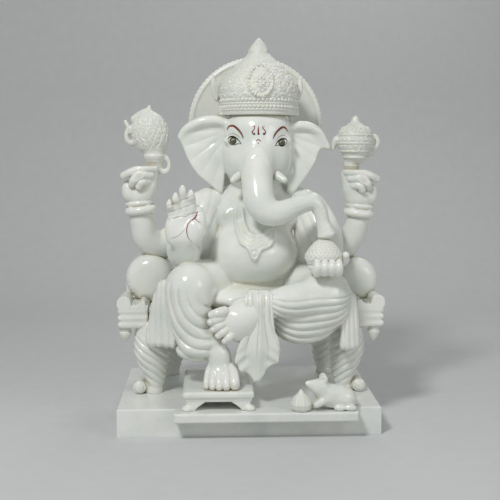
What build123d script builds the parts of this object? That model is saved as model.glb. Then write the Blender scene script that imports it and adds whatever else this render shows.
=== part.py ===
from build123d import *
import math
import os

# A seated marble Ganesha on a low throne, in millimetres, +Z up. The origin is the centre of the slab's
# underside, the figure faces -Y, and "left" and "right" in the names are as seen from the front.

# ------------------------------------------------------------------ driving dimensions
SLAB_W, SLAB_D, SLAB_H = 400.0, 264.0, 43.0       # the plinth that the whole carving stands on
LEDGE_L, LEDGE_R, LEDGE_OUT, LEDGE_H = -113.0, 161.0, 28.0, 14.5
MID = 6.5                                         # the throne and the figure sit a little right of centre
STOOL_L, STOOL_R, STOOL_H, STOOL_PLATE = -101.0, 6.0, 29.0, 9.0
STOOL_FRONT, STOOL_BACK = -148.0, 0.0
SEAT_Z, SEAT_T = 183.0, 33.0                      # seat top, and the thickness of the seat block
SEAT_HALF, RAIL_HALF = 163.0, 211.5               # half widths without and with the rail ends
SEAT_FRONT, SEAT_BACK = -45.0, 110.0
BACK_Y, BACK_T = 82.0, 28.0                       # backrest: front face and thickness
RIB_R = 5.5                                       # three half-round ribs run along each rail end
HALO_R, HALO_HOLE, HALO_T, HALO_Z = 112.0, 57.0, 14.0, 470.0
NECK_Z, CROWN_Z, CROWN_TOP, TOP_Z = 378.0, 492.0, 583.0, 607.0
HEAD = (18.0, 0.0, 436.0)
HEAD_RADII = (60.0, 56.0, 70.0)
CROWN_AXIS = (20.0, 5.0)
WRIST_LEFT, WRIST_RIGHT = (-171.0, 10.0, 332.0), (185.0, 10.0, 326.0)
BANGLE_R, BANGLE_H = 25.0, 14.0
PALM_Z, ANKLE_Z = 284.0, 112.0                    # where the raised hand and the lowered foot are joined
PIN_LONG, PIN_SHORT = (8.0, 50.0), (5.0, 24.0)    # dowel diameter and length

parts = {}


# ------------------------------------------------------------------ shapes that repeat
def ball(centre, radii):
    """An ellipsoid, or a sphere where one radius is given."""
    if isinstance(radii, (int, float)):
        return Pos(*centre) * Sphere(radii)
    return Pos(*centre) * scale(Sphere(1), by=radii)


def rod(start, end, r_start, r_end):
    """A round bar that tapers from one point to the other."""
    axis = Vector(*end) - Vector(*start)
    place = Plane(origin=start, z_dir=axis).location
    half = Align.CENTER
    if abs(r_start - r_end) < 0.01:
        return place * Cylinder(r_start, axis.length, align=(half, half, Align.MIN))
    return place * Cone(r_start, r_end, axis.length, align=(half, half, Align.MIN))


def limb(points, radii):
    """Tapered bars joined by balls: an arm, a leg, a finger or a trunk."""
    solid = ball(points[0], radii[0])
    for i in range(len(points) - 1):
        solid = solid + rod(points[i], points[i + 1], radii[i], radii[i + 1])
        solid = solid + ball(points[i + 1], radii[i + 1] * 1.01)
    return solid


def tower(sections):
    """A loft through level ellipses, each given as height, centre x, centre y, radius x, radius y."""
    rings = [Plane(origin=(x, y, z)) * Ellipse(rx, ry) for z, x, y, rx, ry in sections]
    return loft(rings)


def turned(axis_xy, profile):
    """A round piece on an upright axis, from height and radius pairs."""
    outline = [(0, profile[0][0])] + [(r, z) for z, r in profile] + [(0, profile[-1][0])]
    face = Plane.XZ * make_face(Polyline(*outline, close=True))
    return Pos(axis_xy[0], axis_xy[1], 0) * revolve(face, Axis.Z)


def block(x0, x1, y0, y1, z0, z1):
    size = (x1 - x0, y1 - y0, z1 - z0)
    return Pos((x0 + x1) / 2, (y0 + y1) / 2, (z0 + z1) / 2) * Box(*size)


def plate(outline, y0, y1):
    """A flat outline in X and Z, carried from y0 to y1."""
    face = Plane.XZ * make_face(Spline(*outline, periodic=True))
    return Pos(0, y1, 0) * extrude(face, y1 - y0)


def biggest(shape):
    solids = sorted(shape.solids(), key=lambda s: s.volume)
    return Part() + solids[-1]


def carve(shape, *neighbours):
    """What is left of a piece of stone once its neighbours have taken their place."""
    for name in neighbours:
        shape = shape - parts[name]
    return biggest(shape)


# ------------------------------------------------------------------ plinth, ledge and footstool
def make_base():
    slab = block(-SLAB_W / 2, SLAB_W / 2, -SLAB_D / 2, SLAB_D / 2, 0, SLAB_H)
    parts["plinth_slab"] = fillet(slab.edges().group_by(Axis.Z)[-1], 2.0)

    front = -SLAB_D / 2
    ledge = block(LEDGE_L, LEDGE_R, front - LEDGE_OUT, front, SLAB_H - LEDGE_H, SLAB_H)
    parts["front_ledge"] = fillet(ledge.edges().group_by(Axis.Y)[0], 3.0)


def make_footstool():
    top = SLAB_H + STOOL_H
    under = top - STOOL_PLATE
    body = block(STOOL_L + 6, STOOL_R - 6, STOOL_FRONT + 5, STOOL_BACK - 5, SLAB_H, under)
    middle = (STOOL_L + STOOL_R) / 2
    arch_foot, arch_head = 42.0, 24.0
    arch = Polyline(
        (middle - arch_foot, SLAB_H - 1),
        (middle - arch_head, under - 5),
        (middle + arch_head, under - 5),
        (middle + arch_foot, SLAB_H - 1),
        close=True,
    )
    tunnel = Pos(0, STOOL_BACK + 5, 0) * extrude(Plane.XZ * make_face(arch), STOOL_BACK - STOOL_FRONT + 10)
    lid = fillet(block(STOOL_L, STOOL_R, STOOL_FRONT, STOOL_BACK, under, top).edges(), 3.5)
    parts["footstool"] = biggest(body - tunnel + lid)


# ------------------------------------------------------------------ throne
def make_throne():
    seat = block(MID - SEAT_HALF, MID + SEAT_HALF, SEAT_FRONT, SEAT_BACK, SEAT_Z - SEAT_T, SEAT_Z)
    parts["throne_seat"] = seat

    rear_top, column_top, column_half = SEAT_Z + 38, 392.0, 46.0
    panel = block(MID - 209, MID + 206, BACK_Y, BACK_Y + BACK_T, SEAT_Z, rear_top)
    column = block(MID - column_half, MID + column_half, BACK_Y, BACK_Y + BACK_T, SEAT_Z, column_top)
    parts["throne_back"] = biggest(fillet((panel + column).edges().group_by(Axis.Z)[-1], 5.0))

    for name, side in (("left", -1), ("right", 1)):
        inner, outer = MID + side * SEAT_HALF, MID + side * RAIL_HALF
        low, high = min(inner, outer), max(inner, outer)
        core_x = outer - side * 3
        end = block(min(inner, core_x), max(inner, core_x), SEAT_FRONT, SEAT_BACK, SEAT_Z - SEAT_T, SEAT_Z)
        for k in range(3):
            rib_z = SEAT_Z - SEAT_T + RIB_R * (1 + 2 * k)
            corner = (outer - side * RIB_R, SEAT_FRONT, rib_z)
            end = end + rod((inner, SEAT_FRONT, rib_z), corner, RIB_R, RIB_R)
            end = end + ball(corner, RIB_R)
            end = end + rod(corner, (corner[0], SEAT_BACK, rib_z), RIB_R, RIB_R)
        crest_front, crest_back, crest_z = SEAT_FRONT - 4, -6, SEAT_Z + 7
        scroll_x = outer - side * 11
        end = end + block(low, high, crest_front, crest_back, SEAT_Z, crest_z)
        end = end + rod((scroll_x, crest_front, crest_z), (scroll_x, crest_back, crest_z), 10.5, 10.5)
        end = end & block(low - 9, high + 9, SEAT_FRONT - 9, SEAT_BACK, SEAT_Z - SEAT_T, SEAT_Z + 30)
        parts[f"rail_end_{name}"] = carve(end, "throne_seat")

        drop_x = MID + side * 198.5 - 2
        drop = turned((drop_x, SEAT_FRONT + 9), [(124.5, 0.8), (128, 4), (139, 9.5), (143, 10), (150, 8)])
        parts[f"pendant_{name}"] = drop


def make_throne_legs():
    top = SEAT_Z - SEAT_T
    front_y = -30.0
    bends = {"left": (-158.0, -161.0, -152.0, -148.0), "right": (165.0, 168.0, 161.0, 158.0)}
    for name, side in (("left", -1), ("right", 1)):
        hip_x, knee_x, shin_x, foot_x = bends[name]
        leg = tower([
            (SLAB_H, foot_x, front_y, 15, 15),
            (SLAB_H + 14, foot_x, front_y, 12, 13),
            (85, shin_x, front_y, 14, 15),
            (122, knee_x, front_y, 22, 19),
            (top, hip_x, front_y, 24, 20),
        ])
        curl_x, curl_z = foot_x + side * 24, SLAB_H + 10
        curl = rod((curl_x, front_y - 11, curl_z), (curl_x, front_y + 11, curl_z), 10, 10)
        near_x, far_x = sorted((foot_x, curl_x))
        spring = block(near_x, far_x, front_y - 9, front_y + 9, SLAB_H, SLAB_H + 9)
        parts[f"throne_leg_front_{name}"] = biggest(leg + curl + spring)

        rear_x, rear_y = MID + side * 133, 88.0
        parts[f"throne_leg_rear_{name}"] = tower([
            (SLAB_H, rear_x, rear_y, 15, 15),
            (SLAB_H + 14, rear_x, rear_y, 11, 11),
            (90, rear_x, rear_y, 13, 13),
            (125, rear_x, rear_y, 19, 17),
            (top, rear_x, rear_y, 20, 18),
        ])


def make_bolsters():
    for name, x, z, r in (("left", -157.0, 222.0, 39.0), ("right", 180.0, 217.0, 37.0)):
        front, back = -5.0, BACK_Y
        long = back - front
        rim = [(0, 0), (r * 0.55, 0), (r * 0.85, 5), (r, 16), (r, long - 8), (r * 0.9, long), (0, long)]
        outline = Polyline(*rim, close=True)
        roll = revolve(make_face(outline), Axis.Y)
        roll = Pos(x, front, z) * roll
        flat = block(x - r - 5, x + r + 5, front - 5, back, SEAT_Z, z + r + 5)
        parts[f"bolster_{name}"] = biggest(roll & flat)


def make_halo():
    lobes, bite = 72, 1.6
    rim = []
    for i in range(2 * lobes):
        angle = math.pi * i / lobes
        radius = HALO_R + (bite if i % 2 else 0.0)
        rim.append((18.0 + radius * math.cos(angle), HALO_Z + radius * math.sin(angle)))
    disc = Pos(0, BACK_Y, 0) * extrude(Plane.XZ * make_face(Polyline(*rim, close=True)), HALO_T)
    hole = rod((18.0, BACK_Y + 5, HALO_Z), (18.0, BACK_Y - HALO_T - 5, HALO_Z), HALO_HOLE, HALO_HOLE)
    parts["halo_ring"] = biggest(disc - hole)


# ------------------------------------------------------------------ body, head and crown
def torso_tower(grow):
    """The body of the figure, or the same body with a thicker skin."""
    sections = [
        (SEAT_Z, 11, 6, 84, 64),
        (210, 11, -5, 82, 78),
        (240, 11, -11, 79, 79),
        (285, 13, -2, 70, 62),
        (320, 16, 6, 66, 50),
        (350, 18, 10, 58, 42),
        (NECK_Z, 18, 8, 33, 31),
    ]
    return tower([(z, x, y, rx + grow, ry + grow) for z, x, y, rx, ry in sections])


def make_body():
    parts["torso"] = torso_tower(0)
    skin = torso_tower(3.5)
    collar_x, collar_z, collar_r, hang_r = 27.0, 315.0, 43.0, 30.0
    reach = 120.0
    ring = rod((collar_x, -reach, collar_z), (collar_x, -20, collar_z), collar_r, collar_r)
    ring = ring - rod((collar_x, -reach - 1, collar_z), (collar_x, 0, collar_z), hang_r, hang_r)
    ring = ring & block(-60, 110, -reach, -22, 255, 322)
    point = Polyline((collar_x - 26, 282), (collar_x - 22, 255), (collar_x + 26, 282), close=True)
    tip = Pos(0, -20, 0) * extrude(Plane.XZ * make_face(point), reach - 20)
    parts["necklace"] = carve((ring + tip) & skin, "torso")


def make_head():
    head = ball(HEAD, HEAD_RADII)
    band = block(-90, 130, -90, 90, NECK_Z, CROWN_Z)
    parts["head"] = biggest(head & band)

    cap = turned(CROWN_AXIS, [
        (CROWN_Z, 60), (CROWN_Z + 16, 62), (CROWN_Z + 34, 62), (CROWN_Z + 43, 58), (CROWN_Z + 52, 52),
        (CROWN_Z + 62, 44), (CROWN_TOP - 19, 34), (CROWN_TOP - 11, 25), (CROWN_TOP, 17),
    ])
    parts["crown"] = cap
    finial = [(CROWN_TOP, 15), (CROWN_TOP + 4, 14), (CROWN_TOP + 13, 7), (TOP_Z, 0.8)]
    parts["crown_finial"] = turned(CROWN_AXIS, finial)

    for name, side in (("left", -1), ("right", 1)):
        root = (CROWN_AXIS[0] + side * 56, 8.0, CROWN_Z + 22)
        tip = (CROWN_AXIS[0] + side * 67, 10.0, CROWN_Z + 58)
        leaf = rod(root, tip, 13, 1.2) + ball(root, 13)
        parts[f"crown_leaf_{name}"] = carve(leaf, "crown")

    for name, side in (("left", -1), ("right", 1)):
        root = (17 + side * 27, -42.0, 396.0)
        tip = (17 + side * 38, -62.0, 380.0)
        tusk = rod(root, tip, 9, 4.5) + ball(tip, 4.5)
        parts[f"tusk_{name}"] = carve(tusk, "head")


def make_trunk():
    route = [(17, -46, 444), (16, -62, 420), (17, -76, 392), (22, -88, 362), (34, -94, 341), (54, -96, 337),
             (74, -95, 347), (92, -95, 353), (106, -95, 345), (114, -95, 327), (119, -95, 306)]
    girth = [22, 24, 23, 22, 21, 19.5, 18, 16, 14, 12.5, 12.5]
    parts["trunk"] = carve(limb(route, girth), "head", "tusk_left", "tusk_right", "torso", "necklace")


def make_ears():
    shapes = {
        "left": [(-30, 472), (-52, 482), (-82, 474), (-107, 449), (-99, 424), (-78, 394),
            (-54, 369), (-39, 362),
                 (-33, 385), (-32, 430)],
        "right": [(66, 468), (90, 472), (112, 462), (134, 434), (118, 420), (104, 396), (84, 370), (71, 363),
                  (67, 385), (68, 425)],
    }
    for name, outline in shapes.items():
        ear = plate(outline, -12.0, 3.0)
        parts[f"ear_{name}"] = carve(ear, "head", "torso", "crown", "trunk", f"arm_front_{name}")


# ------------------------------------------------------------------ arms, hands and what they hold
def make_arms():
    joints = {
        "front_left": [(-44, 2, 340), (-78, -12, 318), (-98, -34, 285), (-99, -62, 262), (-97, -80, 286)],
        "front_right": [(80, 2, 340), (110, -14, 315), (126, -40, 285), (124, -62, 262), (118, -84, 248)],
        "rear_left": [(-40, 30, 335), (-95, 34, 300), (-146, 26, 268), (-160, 20, 290), (-170, 10, 333)],
        "rear_right": [(76, 30, 335), (125, 34, 298), (160, 26, 266), (174, 20, 290), (185, 10, 327)],
    }
    girths = {"front": [24, 24, 23, 20, 14], "rear": [22, 22, 22, 21, 17]}
    for name, route in joints.items():
        girth = girths[name.split("_")[0]]
        arm = limb(route[:3], girth[:3]) + limb(route[2:4], girth[2:4])
        arm = arm + rod(route[3], route[4], girth[3], girth[4])
        blockers = ["torso", "throne_back"]
        if name.startswith("rear"):
            arm = arm & block(-260, 260, 8, 120, 200, 400)
            arm = arm + limb(route[2:4], girth[2:4]) + rod(route[3], route[4], girth[3], girth[4])
            blockers += ["bolster_left", "bolster_right"]
        else:
            arm = arm & block(-260, 260, -200, 8, 200, 400)
            blockers += ["trunk", "necklace", "bolster_left", "bolster_right"]
        parts[f"arm_{name}"] = carve(arm, *blockers)
    for side, wrist_z in (("left", WRIST_LEFT[2]), ("right", WRIST_RIGHT[2])):
        below = block(-260, 260, -200, 200, 150, wrist_z)
        parts[f"arm_rear_{side}"] = carve(parts[f"arm_rear_{side}"] & below, f"arm_front_{side}")
    raised_hand = block(-130, -60, -110, -66, PALM_Z, 400)
    parts["arm_front_left"] = biggest(parts["arm_front_left"] - raised_hand)


def finger(points, r):
    return limb(points, [r * (1 - 0.08 * i) for i in range(len(points))])


def make_hands():
    palm_x, palm_y = -97.0, -86.0
    hand = ball((palm_x, palm_y, 316), (28, 12, 34))
    hand = hand + rod((palm_x, -80, PALM_Z), (palm_x, -84, 300), 14.5, 17)
    for x, z in ((-116, 359), (-106, 368), (-95, 374), (-83, 369)):
        knuckle = (x * 0.9 + palm_x * 0.1, palm_y, 326)
        hand = hand + finger([knuckle, (x, palm_y - 3, 345), (x, palm_y - 7, z - 5)], 6.8)
    hand = hand + finger([(-76, palm_y - 6, 305), (-72, palm_y - 10, 322), (-76, palm_y - 12, 336)], 7.5)
    above = block(-260, 260, -200, 200, PALM_Z, 420)
    parts["hand_front_left"] = carve(hand & above, "arm_front_left")

    parts["sweets_heap"] = carve(ball((114, -98, 276), (27, 22, 21)), "trunk", "arm_front_right")
    dish = ball((114, -96, 252), (30, 24, 13))
    for x in (94, 105, 116, 127):
        dish = dish + finger([(x, -108, 246), (x, -120, 250), (x, -121, 260)], 6)
    dish = dish + finger([(138, -92, 252), (143, -97, 262)], 6.5)
    parts["hand_front_right"] = carve(dish, "sweets_heap", "arm_front_right")

    for name, (x, y, z) in (("left", WRIST_LEFT), ("right", WRIST_RIGHT)):
        top = z + BANGLE_H
        rings = [(0, 20), (1, 24), (5, BANGLE_R), (7, 22.5), (9, BANGLE_R), (13, 24), (BANGLE_H, 20)]
        parts[f"bangle_{name}"] = turned((x, y), [(z + h, r) for h, r in rings])
        inward = 1 if name == "left" else -1
        fist = rod((x, y, top), (x, y - 2, top + 14), 18, 20) + ball((x, y - 3, top + 20), (23, 18, 17))
        for k in range(3):
            knuckle_z = top + 16 + 8 * k
            start = (x - inward * 8, y - 14, knuckle_z)
            bend = (x - inward * 20, y - 20, knuckle_z + 2)
            tip = (x - inward * 26, y - 14, knuckle_z)
            fist = fist + finger([start, bend, tip], 6)
        stem_x = x + inward * 16
        first = [(x + inward * 8, y - 6, top + 18), (stem_x, y - 8, top + 34), (stem_x, y - 8, top + 52)]
        fist = fist + finger(first, 10)
        above = block(-260, 260, -200, 200, top, top + 46)
        parts[f"hand_rear_{name}"] = biggest(fist & above)


def ring_handle(centre, big, small):
    return Pos(*centre) * Rot(90, 0, 0) * Torus(big, small)


def make_emblems():
    x, y, z = WRIST_LEFT[0] + 16, WRIST_LEFT[1] - 8, WRIST_LEFT[2] + BANGLE_H + 46
    cup = turned((x, y), [(z, 11), (z + 8, 12), (z + 18, 19), (z + 24, 20), (z + 30, 17), (z + 40, 18)])
    bud = ball((x, y, z + 65), (27, 24, 36)) + rod((x - 2, y, z + 92), (x - 6, y, z + 108), 12, 1.5)
    spout = ring_handle((x - 32, y, z + 62), 9, 3.5)
    spout = spout + rod((x - 34, y, z + 70), (x - 44, y, z + 86), 4.5, 2.5)
    loop = ring_handle((x + 17, y, z + 12), 10, 3)
    parts["emblem_left"] = biggest(cup + bud + spout + loop)

    x, y, z = WRIST_RIGHT[0] - 16, WRIST_RIGHT[1] - 8, WRIST_RIGHT[2] + BANGLE_H + 46
    jar = turned((x + 4, y), [
        (z, 13), (z + 10, 13), (z + 20, 17), (z + 26, 19), (z + 34, 30), (z + 46, 34), (z + 54, 33),
            (z + 70, 24),
        (z + 82, 10), (z + 88, 9), (z + 100, 1.5),
    ])
    hook = rod((x - 22, y, z + 42), (x - 30, y, z + 48), 8, 4)
    side_ring = ring_handle((x + 41, y, z + 50), 8, 3.5)
    side_ring = side_ring + rod((x + 34, y, z + 28), (x + 38, y, z + 42), 6, 5)
    parts["emblem_right"] = biggest(jar + hook + side_ring)


# ------------------------------------------------------------------ legs and cloth
def make_legs():
    thigh = limb([(-30, 5, 222), (-92, -90, 221)], [38, 32])
    calf = [(116, -82, -96, 24, 20), (150, -88, -97, 35, 30), (190, -91, -94, 33, 33),
        (222, -92, -90, 31, 32)]
    cloth = tower(calf)
    shin = limb([(-66, -98, 150), (-48, -104, 122)], [22, 17])
    shin = shin + rod((-48, -104, 122), (-46, -104, ANKLE_Z), 17, 16)
    above = block(-260, 260, -200, 200, ANKLE_Z, 420)
    leg = (thigh + cloth + shin) & above
    in_place = ["torso", "throne_seat", "bolster_left", "arm_front_left", "hand_front_left"]
    parts["leg_lowered"] = carve(leg, *in_place)

    sole = SLAB_H + STOOL_H
    foot = ball((-45, -110, sole + 8), (25, 34, 19))
    foot = foot + rod((-46, -100, sole + 10), (-46, -104, ANKLE_Z), 19, 16)
    toes = ((-63, 5.0, -132), (-55, 5.5, -136), (-46, 6.0, -138), (-37, 6.5, -138), (-25, 8.0, -136))
    for x, r, y in toes:
        foot = foot + limb([(x, -118, sole + 10), (x, y, sole + r)], [r + 2, r])
    foot = foot & block(-120, 40, -160, 0, sole, ANKLE_Z)
    parts["foot_lowered"] = biggest(foot)

    folded = limb([(62, 0, 214), (120, -74, 207), (24, -99, 195)], [34, 33, 19])
    parts["leg_folded"] = carve(folded, "torso", "throne_seat", "bolster_right", "arm_front_right",
                                "hand_front_right", "leg_lowered", "trunk")

    ankle, ball_of_foot = (12, -105, 190), (-26, -116, 172)
    foot = limb([ankle, ball_of_foot], [16, 17])
    for k in range(5):
        root = (-20 - 3 * k, -122, 186 - 7.5 * k)
        tip = (-56 + 6 * k, -128, 174 - 8.5 * k)
        foot = foot + finger([root, tip], 6.5 - 0.4 * k)
    parts["foot_folded"] = carve(foot, "leg_folded", "leg_lowered", "torso", "throne_seat")


def make_drapes():
    bag = [(130, 88, -78, 30, 12), (150, 86, -78, 52, 24), (180, 86, -78, 64, 33), (205, 86, -76, 64, 32)]
    swag = tower(bag)
    in_place = ["leg_folded", "torso", "throne_seat", "foot_folded", "hand_front_right"]
    parts["cloth_swag"] = carve(swag, *in_place)

    outline = [(-3, 214), (33, 214), (35, 172), (47, 132), (36, 102), (12, 84), (-10, 96),
        (-22, 120), (-8, 160)]
    sash = plate(outline, -126.0, -104.0)
    parts["central_pleat"] = carve(sash, "leg_folded", "foot_folded", "cloth_swag", "leg_lowered", "torso")

    fall = [(110, -140, -70, 14, 14), (150, -142, -68, 18, 17), (200, -130, -64, 17, 18),
        (230, -118, -60, 10, 12)]
    left = tower(fall)
    parts["drape_left"] = carve(left, "leg_lowered", "throne_seat", "rail_end_left", "bolster_left",
                                "arm_front_left", "throne_leg_front_left")
    right = tower([(121, 160, -68, 13, 12), (160, 158, -68, 16, 16), (205, 148, -68, 13, 14)])
    parts["drape_right"] = carve(right, "leg_folded", "cloth_swag", "throne_seat", "rail_end_right",
                                 "bolster_right", "throne_leg_front_right")


# ------------------------------------------------------------------ mouse and sweet
def make_mouse():
    body = ball((126, -136, 61), (28, 18, 19)) + ball((144, -134, 56), (15, 17, 15))
    head = ball((104, -140, 76), (14, 12, 12)) + rod((100, -143, 79), (88, -148, 85), 9, 4)
    ears = ball((108, -134, 89), (5, 3, 6)) + ball((112, -144, 88), (5, 3, 6))
    paws = limb([(112, -146, 58), (98, -150, 54)], [7, 5]) + ball((143, -148, 47), (9, 6, 5))
    tail = limb([(152, -128, 47), (163, -118, 46), (160, -106, 46)], [4, 3.2, 2.4])
    whole = body + head + ears + paws + tail
    parts["mouse"] = biggest(whole & block(40, 200, -160, -60, SLAB_H, 120))

    profile = [(SLAB_H, 10), (SLAB_H + 5, 15), (SLAB_H + 11, 16), (SLAB_H + 21, 9), (SLAB_H + 31, 1)]
    sweet = turned((76, -145), profile)
    parts["offered_sweet"] = carve(sweet, "mouse")


# ------------------------------------------------------------------ hidden steel dowels
def make_dowels():
    seat_under = SEAT_Z - SEAT_T
    up, across, deep = (0, 0, 1), (1, 0, 0), (0, 1, 0)
    front_left, front_right = -150.0, 161.0
    long_pins = [
        ((front_left, -30, seat_under), up),
        ((front_right, -30, seat_under), up),
        ((MID - 133, 88, seat_under), up),
        ((MID + 133, 88, seat_under), up),
        ((-148, -30, SLAB_H), up),
        ((158, -30, SLAB_H), up),
        ((MID - 133, 88, SLAB_H), up),
        ((MID + 133, 88, SLAB_H), up),
        ((MID - 40, 10, SEAT_Z), up),
        ((MID + 40, 10, SEAT_Z), up),
        ((MID - 120, 96, SEAT_Z), up),
        ((MID + 120, 96, SEAT_Z), up),
        ((MID - SEAT_HALF, 45, seat_under + 16), across),
        ((MID + SEAT_HALF, 45, seat_under + 16), across),
        ((18, 8, NECK_Z), up),
        ((20, 5, CROWN_Z), up),
        ((WRIST_LEFT[0], 8, WRIST_LEFT[2] + 7), up),
        ((WRIST_RIGHT[0], 8, WRIST_RIGHT[2] + 7), up),
    ]
    short_pins = [
        ((0, BACK_Y, 378), deep),
        ((36, BACK_Y, 378), deep),
        ((-48, -8, 330), across),
        ((82, -8, 330), across),
        ((-42, 28, 325), across),
        ((71, 28, 325), across),
        ((-97, -80, PALM_Z), up),
        ((-46, -104, ANKLE_Z), up),
        ((WRIST_LEFT[0] + 16, 2, WRIST_LEFT[2] + 60), up),
        ((WRIST_RIGHT[0] - 16, 2, WRIST_RIGHT[2] + 60), up),
        ((20, 5, CROWN_TOP), up),
        ((17, -53, 432), deep),
        ((126, -134, SLAB_H), up),
    ]
    for group, (diameter, length), pins in (
        ("dowels_long", PIN_LONG, long_pins),
        ("dowels_short", PIN_SHORT, short_pins),
    ):
        steel = []
        for centre, axis in pins:
            half = Vector(*axis) * (length / 2)
            middle = Vector(*centre)
            pin = rod(tuple(middle - half), tuple(middle + half), diameter / 2, diameter / 2)
            steel.append(pin)
            bare = pin.volume
            for name, stone in parts.items():
                if name.startswith("dowels") or not stone.bounding_box().overlaps(pin.bounding_box()):
                    continue
                taken = (stone & pin).volume
                if taken > 0.01:
                    bare -= taken
                    parts[name] = biggest(stone - pin)
            print(group, centre, "out of the stone by", round(bare, 1))
        parts[group] = Compound(children=[s for p in steel for s in p.solids()])


# ------------------------------------------------------------------ run
make_base()
make_footstool()
make_throne()
make_throne_legs()
make_bolsters()
make_halo()
make_body()
make_head()
make_trunk()
make_arms()
make_ears()
make_hands()
make_emblems()
make_legs()
make_drapes()
make_mouse()
make_dowels()

os.makedirs("parts", exist_ok=True)
for name, shape in parts.items():
    export_step(shape, f"parts/{name}.step")
    print(name, round(shape.volume), len(shape.solids()))
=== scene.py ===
# %% [markdown]
# # A white marble Ganesha on a low throne
# The real thing is carved from blocks of white marble, polished on the skin and left softer in the deep
# carving, then painted in a few places. This scene builds it the way a carver does: each piece is one
# closed lump whose shape is written as a distance. A distance is easy to blend, scoop and groove, which
# is just what chisels and polishing do, and it gives clean closed meshes for every piece.

# %% Load the frame
import math
from concurrent.futures import ThreadPoolExecutor

import bpy
import numpy as np
import openvdb
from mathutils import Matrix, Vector
from mathutils.bvhtree import BVHTree


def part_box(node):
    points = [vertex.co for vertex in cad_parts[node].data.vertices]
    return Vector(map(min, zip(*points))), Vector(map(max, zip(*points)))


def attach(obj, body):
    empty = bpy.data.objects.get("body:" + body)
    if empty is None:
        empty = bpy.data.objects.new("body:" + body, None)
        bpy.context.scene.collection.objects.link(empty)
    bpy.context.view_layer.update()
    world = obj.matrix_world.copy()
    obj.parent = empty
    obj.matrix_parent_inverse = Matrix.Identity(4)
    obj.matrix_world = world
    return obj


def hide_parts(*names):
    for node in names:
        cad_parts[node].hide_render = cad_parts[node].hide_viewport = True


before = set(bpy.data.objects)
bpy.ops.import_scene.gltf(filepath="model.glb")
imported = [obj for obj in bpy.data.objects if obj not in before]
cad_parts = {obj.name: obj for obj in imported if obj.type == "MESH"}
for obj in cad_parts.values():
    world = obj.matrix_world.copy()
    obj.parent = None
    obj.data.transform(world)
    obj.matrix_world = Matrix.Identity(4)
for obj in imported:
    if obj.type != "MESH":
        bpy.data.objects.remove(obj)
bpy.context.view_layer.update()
MM = 0.001


def box_mm(node):
    """Lowest and highest corner of a CAD piece, in millimetres."""
    low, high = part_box(node)
    return np.array(low) / MM, np.array(high) / MM


def home(node):
    """The middle of a CAD piece. Every shape below is laid out in millimetres from the middle of its own
    piece.
    """
    low, high = box_mm(node)
    return (low + high) / 2


# %% [markdown]
# ## Lumps of clay
# A shape here is a function that takes many points at once and says how far each one is from the
# surface: below zero inside, above zero outside. Eggs, tapered ropes, rounded blocks and turned profiles
# are enough for a whole figure, because they can be melted into each other.

# %% Basic lumps


def turn_matrix(x=0.0, y=0.0, z=0.0):
    """A rotation about the three axes, in degrees."""
    a, b, c = (math.radians(v) for v in (x, y, z))
    about_x = np.array([[1, 0, 0], [0, math.cos(a), -math.sin(a)], [0, math.sin(a), math.cos(a)]])
    about_y = np.array([[math.cos(b), 0, math.sin(b)], [0, 1, 0], [-math.sin(b), 0, math.cos(b)]])
    about_z = np.array([[math.cos(c), -math.sin(c), 0], [math.sin(c), math.cos(c), 0], [0, 0, 1]])
    return (about_z @ about_y @ about_x).astype(np.float32)


def moved(p, centre, turn=None):
    """The points as seen from a lump's own middle and its own tilt."""
    q = p - np.asarray(centre, np.float32)
    return q if turn is None else q @ turn_matrix(*turn)


def length(q):
    return np.sqrt((q * q).sum(axis=1))


def egg(p, centre, radii, turn=None):
    q = moved(p, centre, turn) / np.asarray(radii, np.float32)
    inner = length(q)
    slope = length(q / np.asarray(radii, np.float32))
    return inner * (inner - 1) / np.maximum(slope, 1e-5)


def brick(p, centre, half, rounding=2.0, turn=None):
    q = np.abs(moved(p, centre, turn)) - np.asarray(half, np.float32) + rounding
    return length(np.maximum(q, 0)) + np.minimum(q.max(axis=1), 0) - rounding


def bar(p, a, b, ra, rb):
    """A tapered bar with round ends."""
    a, b = np.asarray(a, np.float32), np.asarray(b, np.float32)
    run = b - a
    t = np.clip(((p - a) @ run) / float(run @ run), 0, 1)
    return length(p - a - t[:, None] * run) - (ra + (rb - ra) * t)


def smooth_route(points, steps):
    """Points along a curve that passes through every given point; extra numbers such as radii go along."""
    pts = np.asarray(points, np.float32)
    pts = np.vstack([2 * pts[0] - pts[1], pts, 2 * pts[-1] - pts[-2]])
    t = np.linspace(0, 1, steps, endpoint=False, dtype=np.float32)[:, None]
    out = []
    for i in range(1, len(pts) - 2):
        a, b, c, d = pts[i - 1 : i + 3]
        out.append(
            0.5 * (2 * b + (c - a) * t + (2 * a - 5 * b + 4 * c - d) * t**2 + (3 * b - a - 3 * c + d) * t**3)
        )
    out.append(pts[-2][None])
    return np.vstack(out)


def rope(p, points, steps=5):
    """A smooth bar through many points, each given as x, y, z and radius."""
    route = smooth_route(points, steps)
    best = np.full(len(p), 1e3, np.float32)
    for a, b in zip(route[:-1], route[1:]):
        best = np.minimum(best, bar(p, a[:3], b[:3], a[3], b[3]))
    return best


def melt(k, *lumps):
    """Joins lumps with a soft fillet about k millimetres wide."""
    joined = lumps[0]
    for other in lumps[1:]:
        h = np.maximum(k - np.abs(joined - other), 0) / k
        joined = np.minimum(joined, other) - h * h * k / 4
    return joined


def scoop(k, lump, tool):
    """Takes the tool out of the lump and softens the edge."""
    return -melt(k, -lump, tool)


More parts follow.
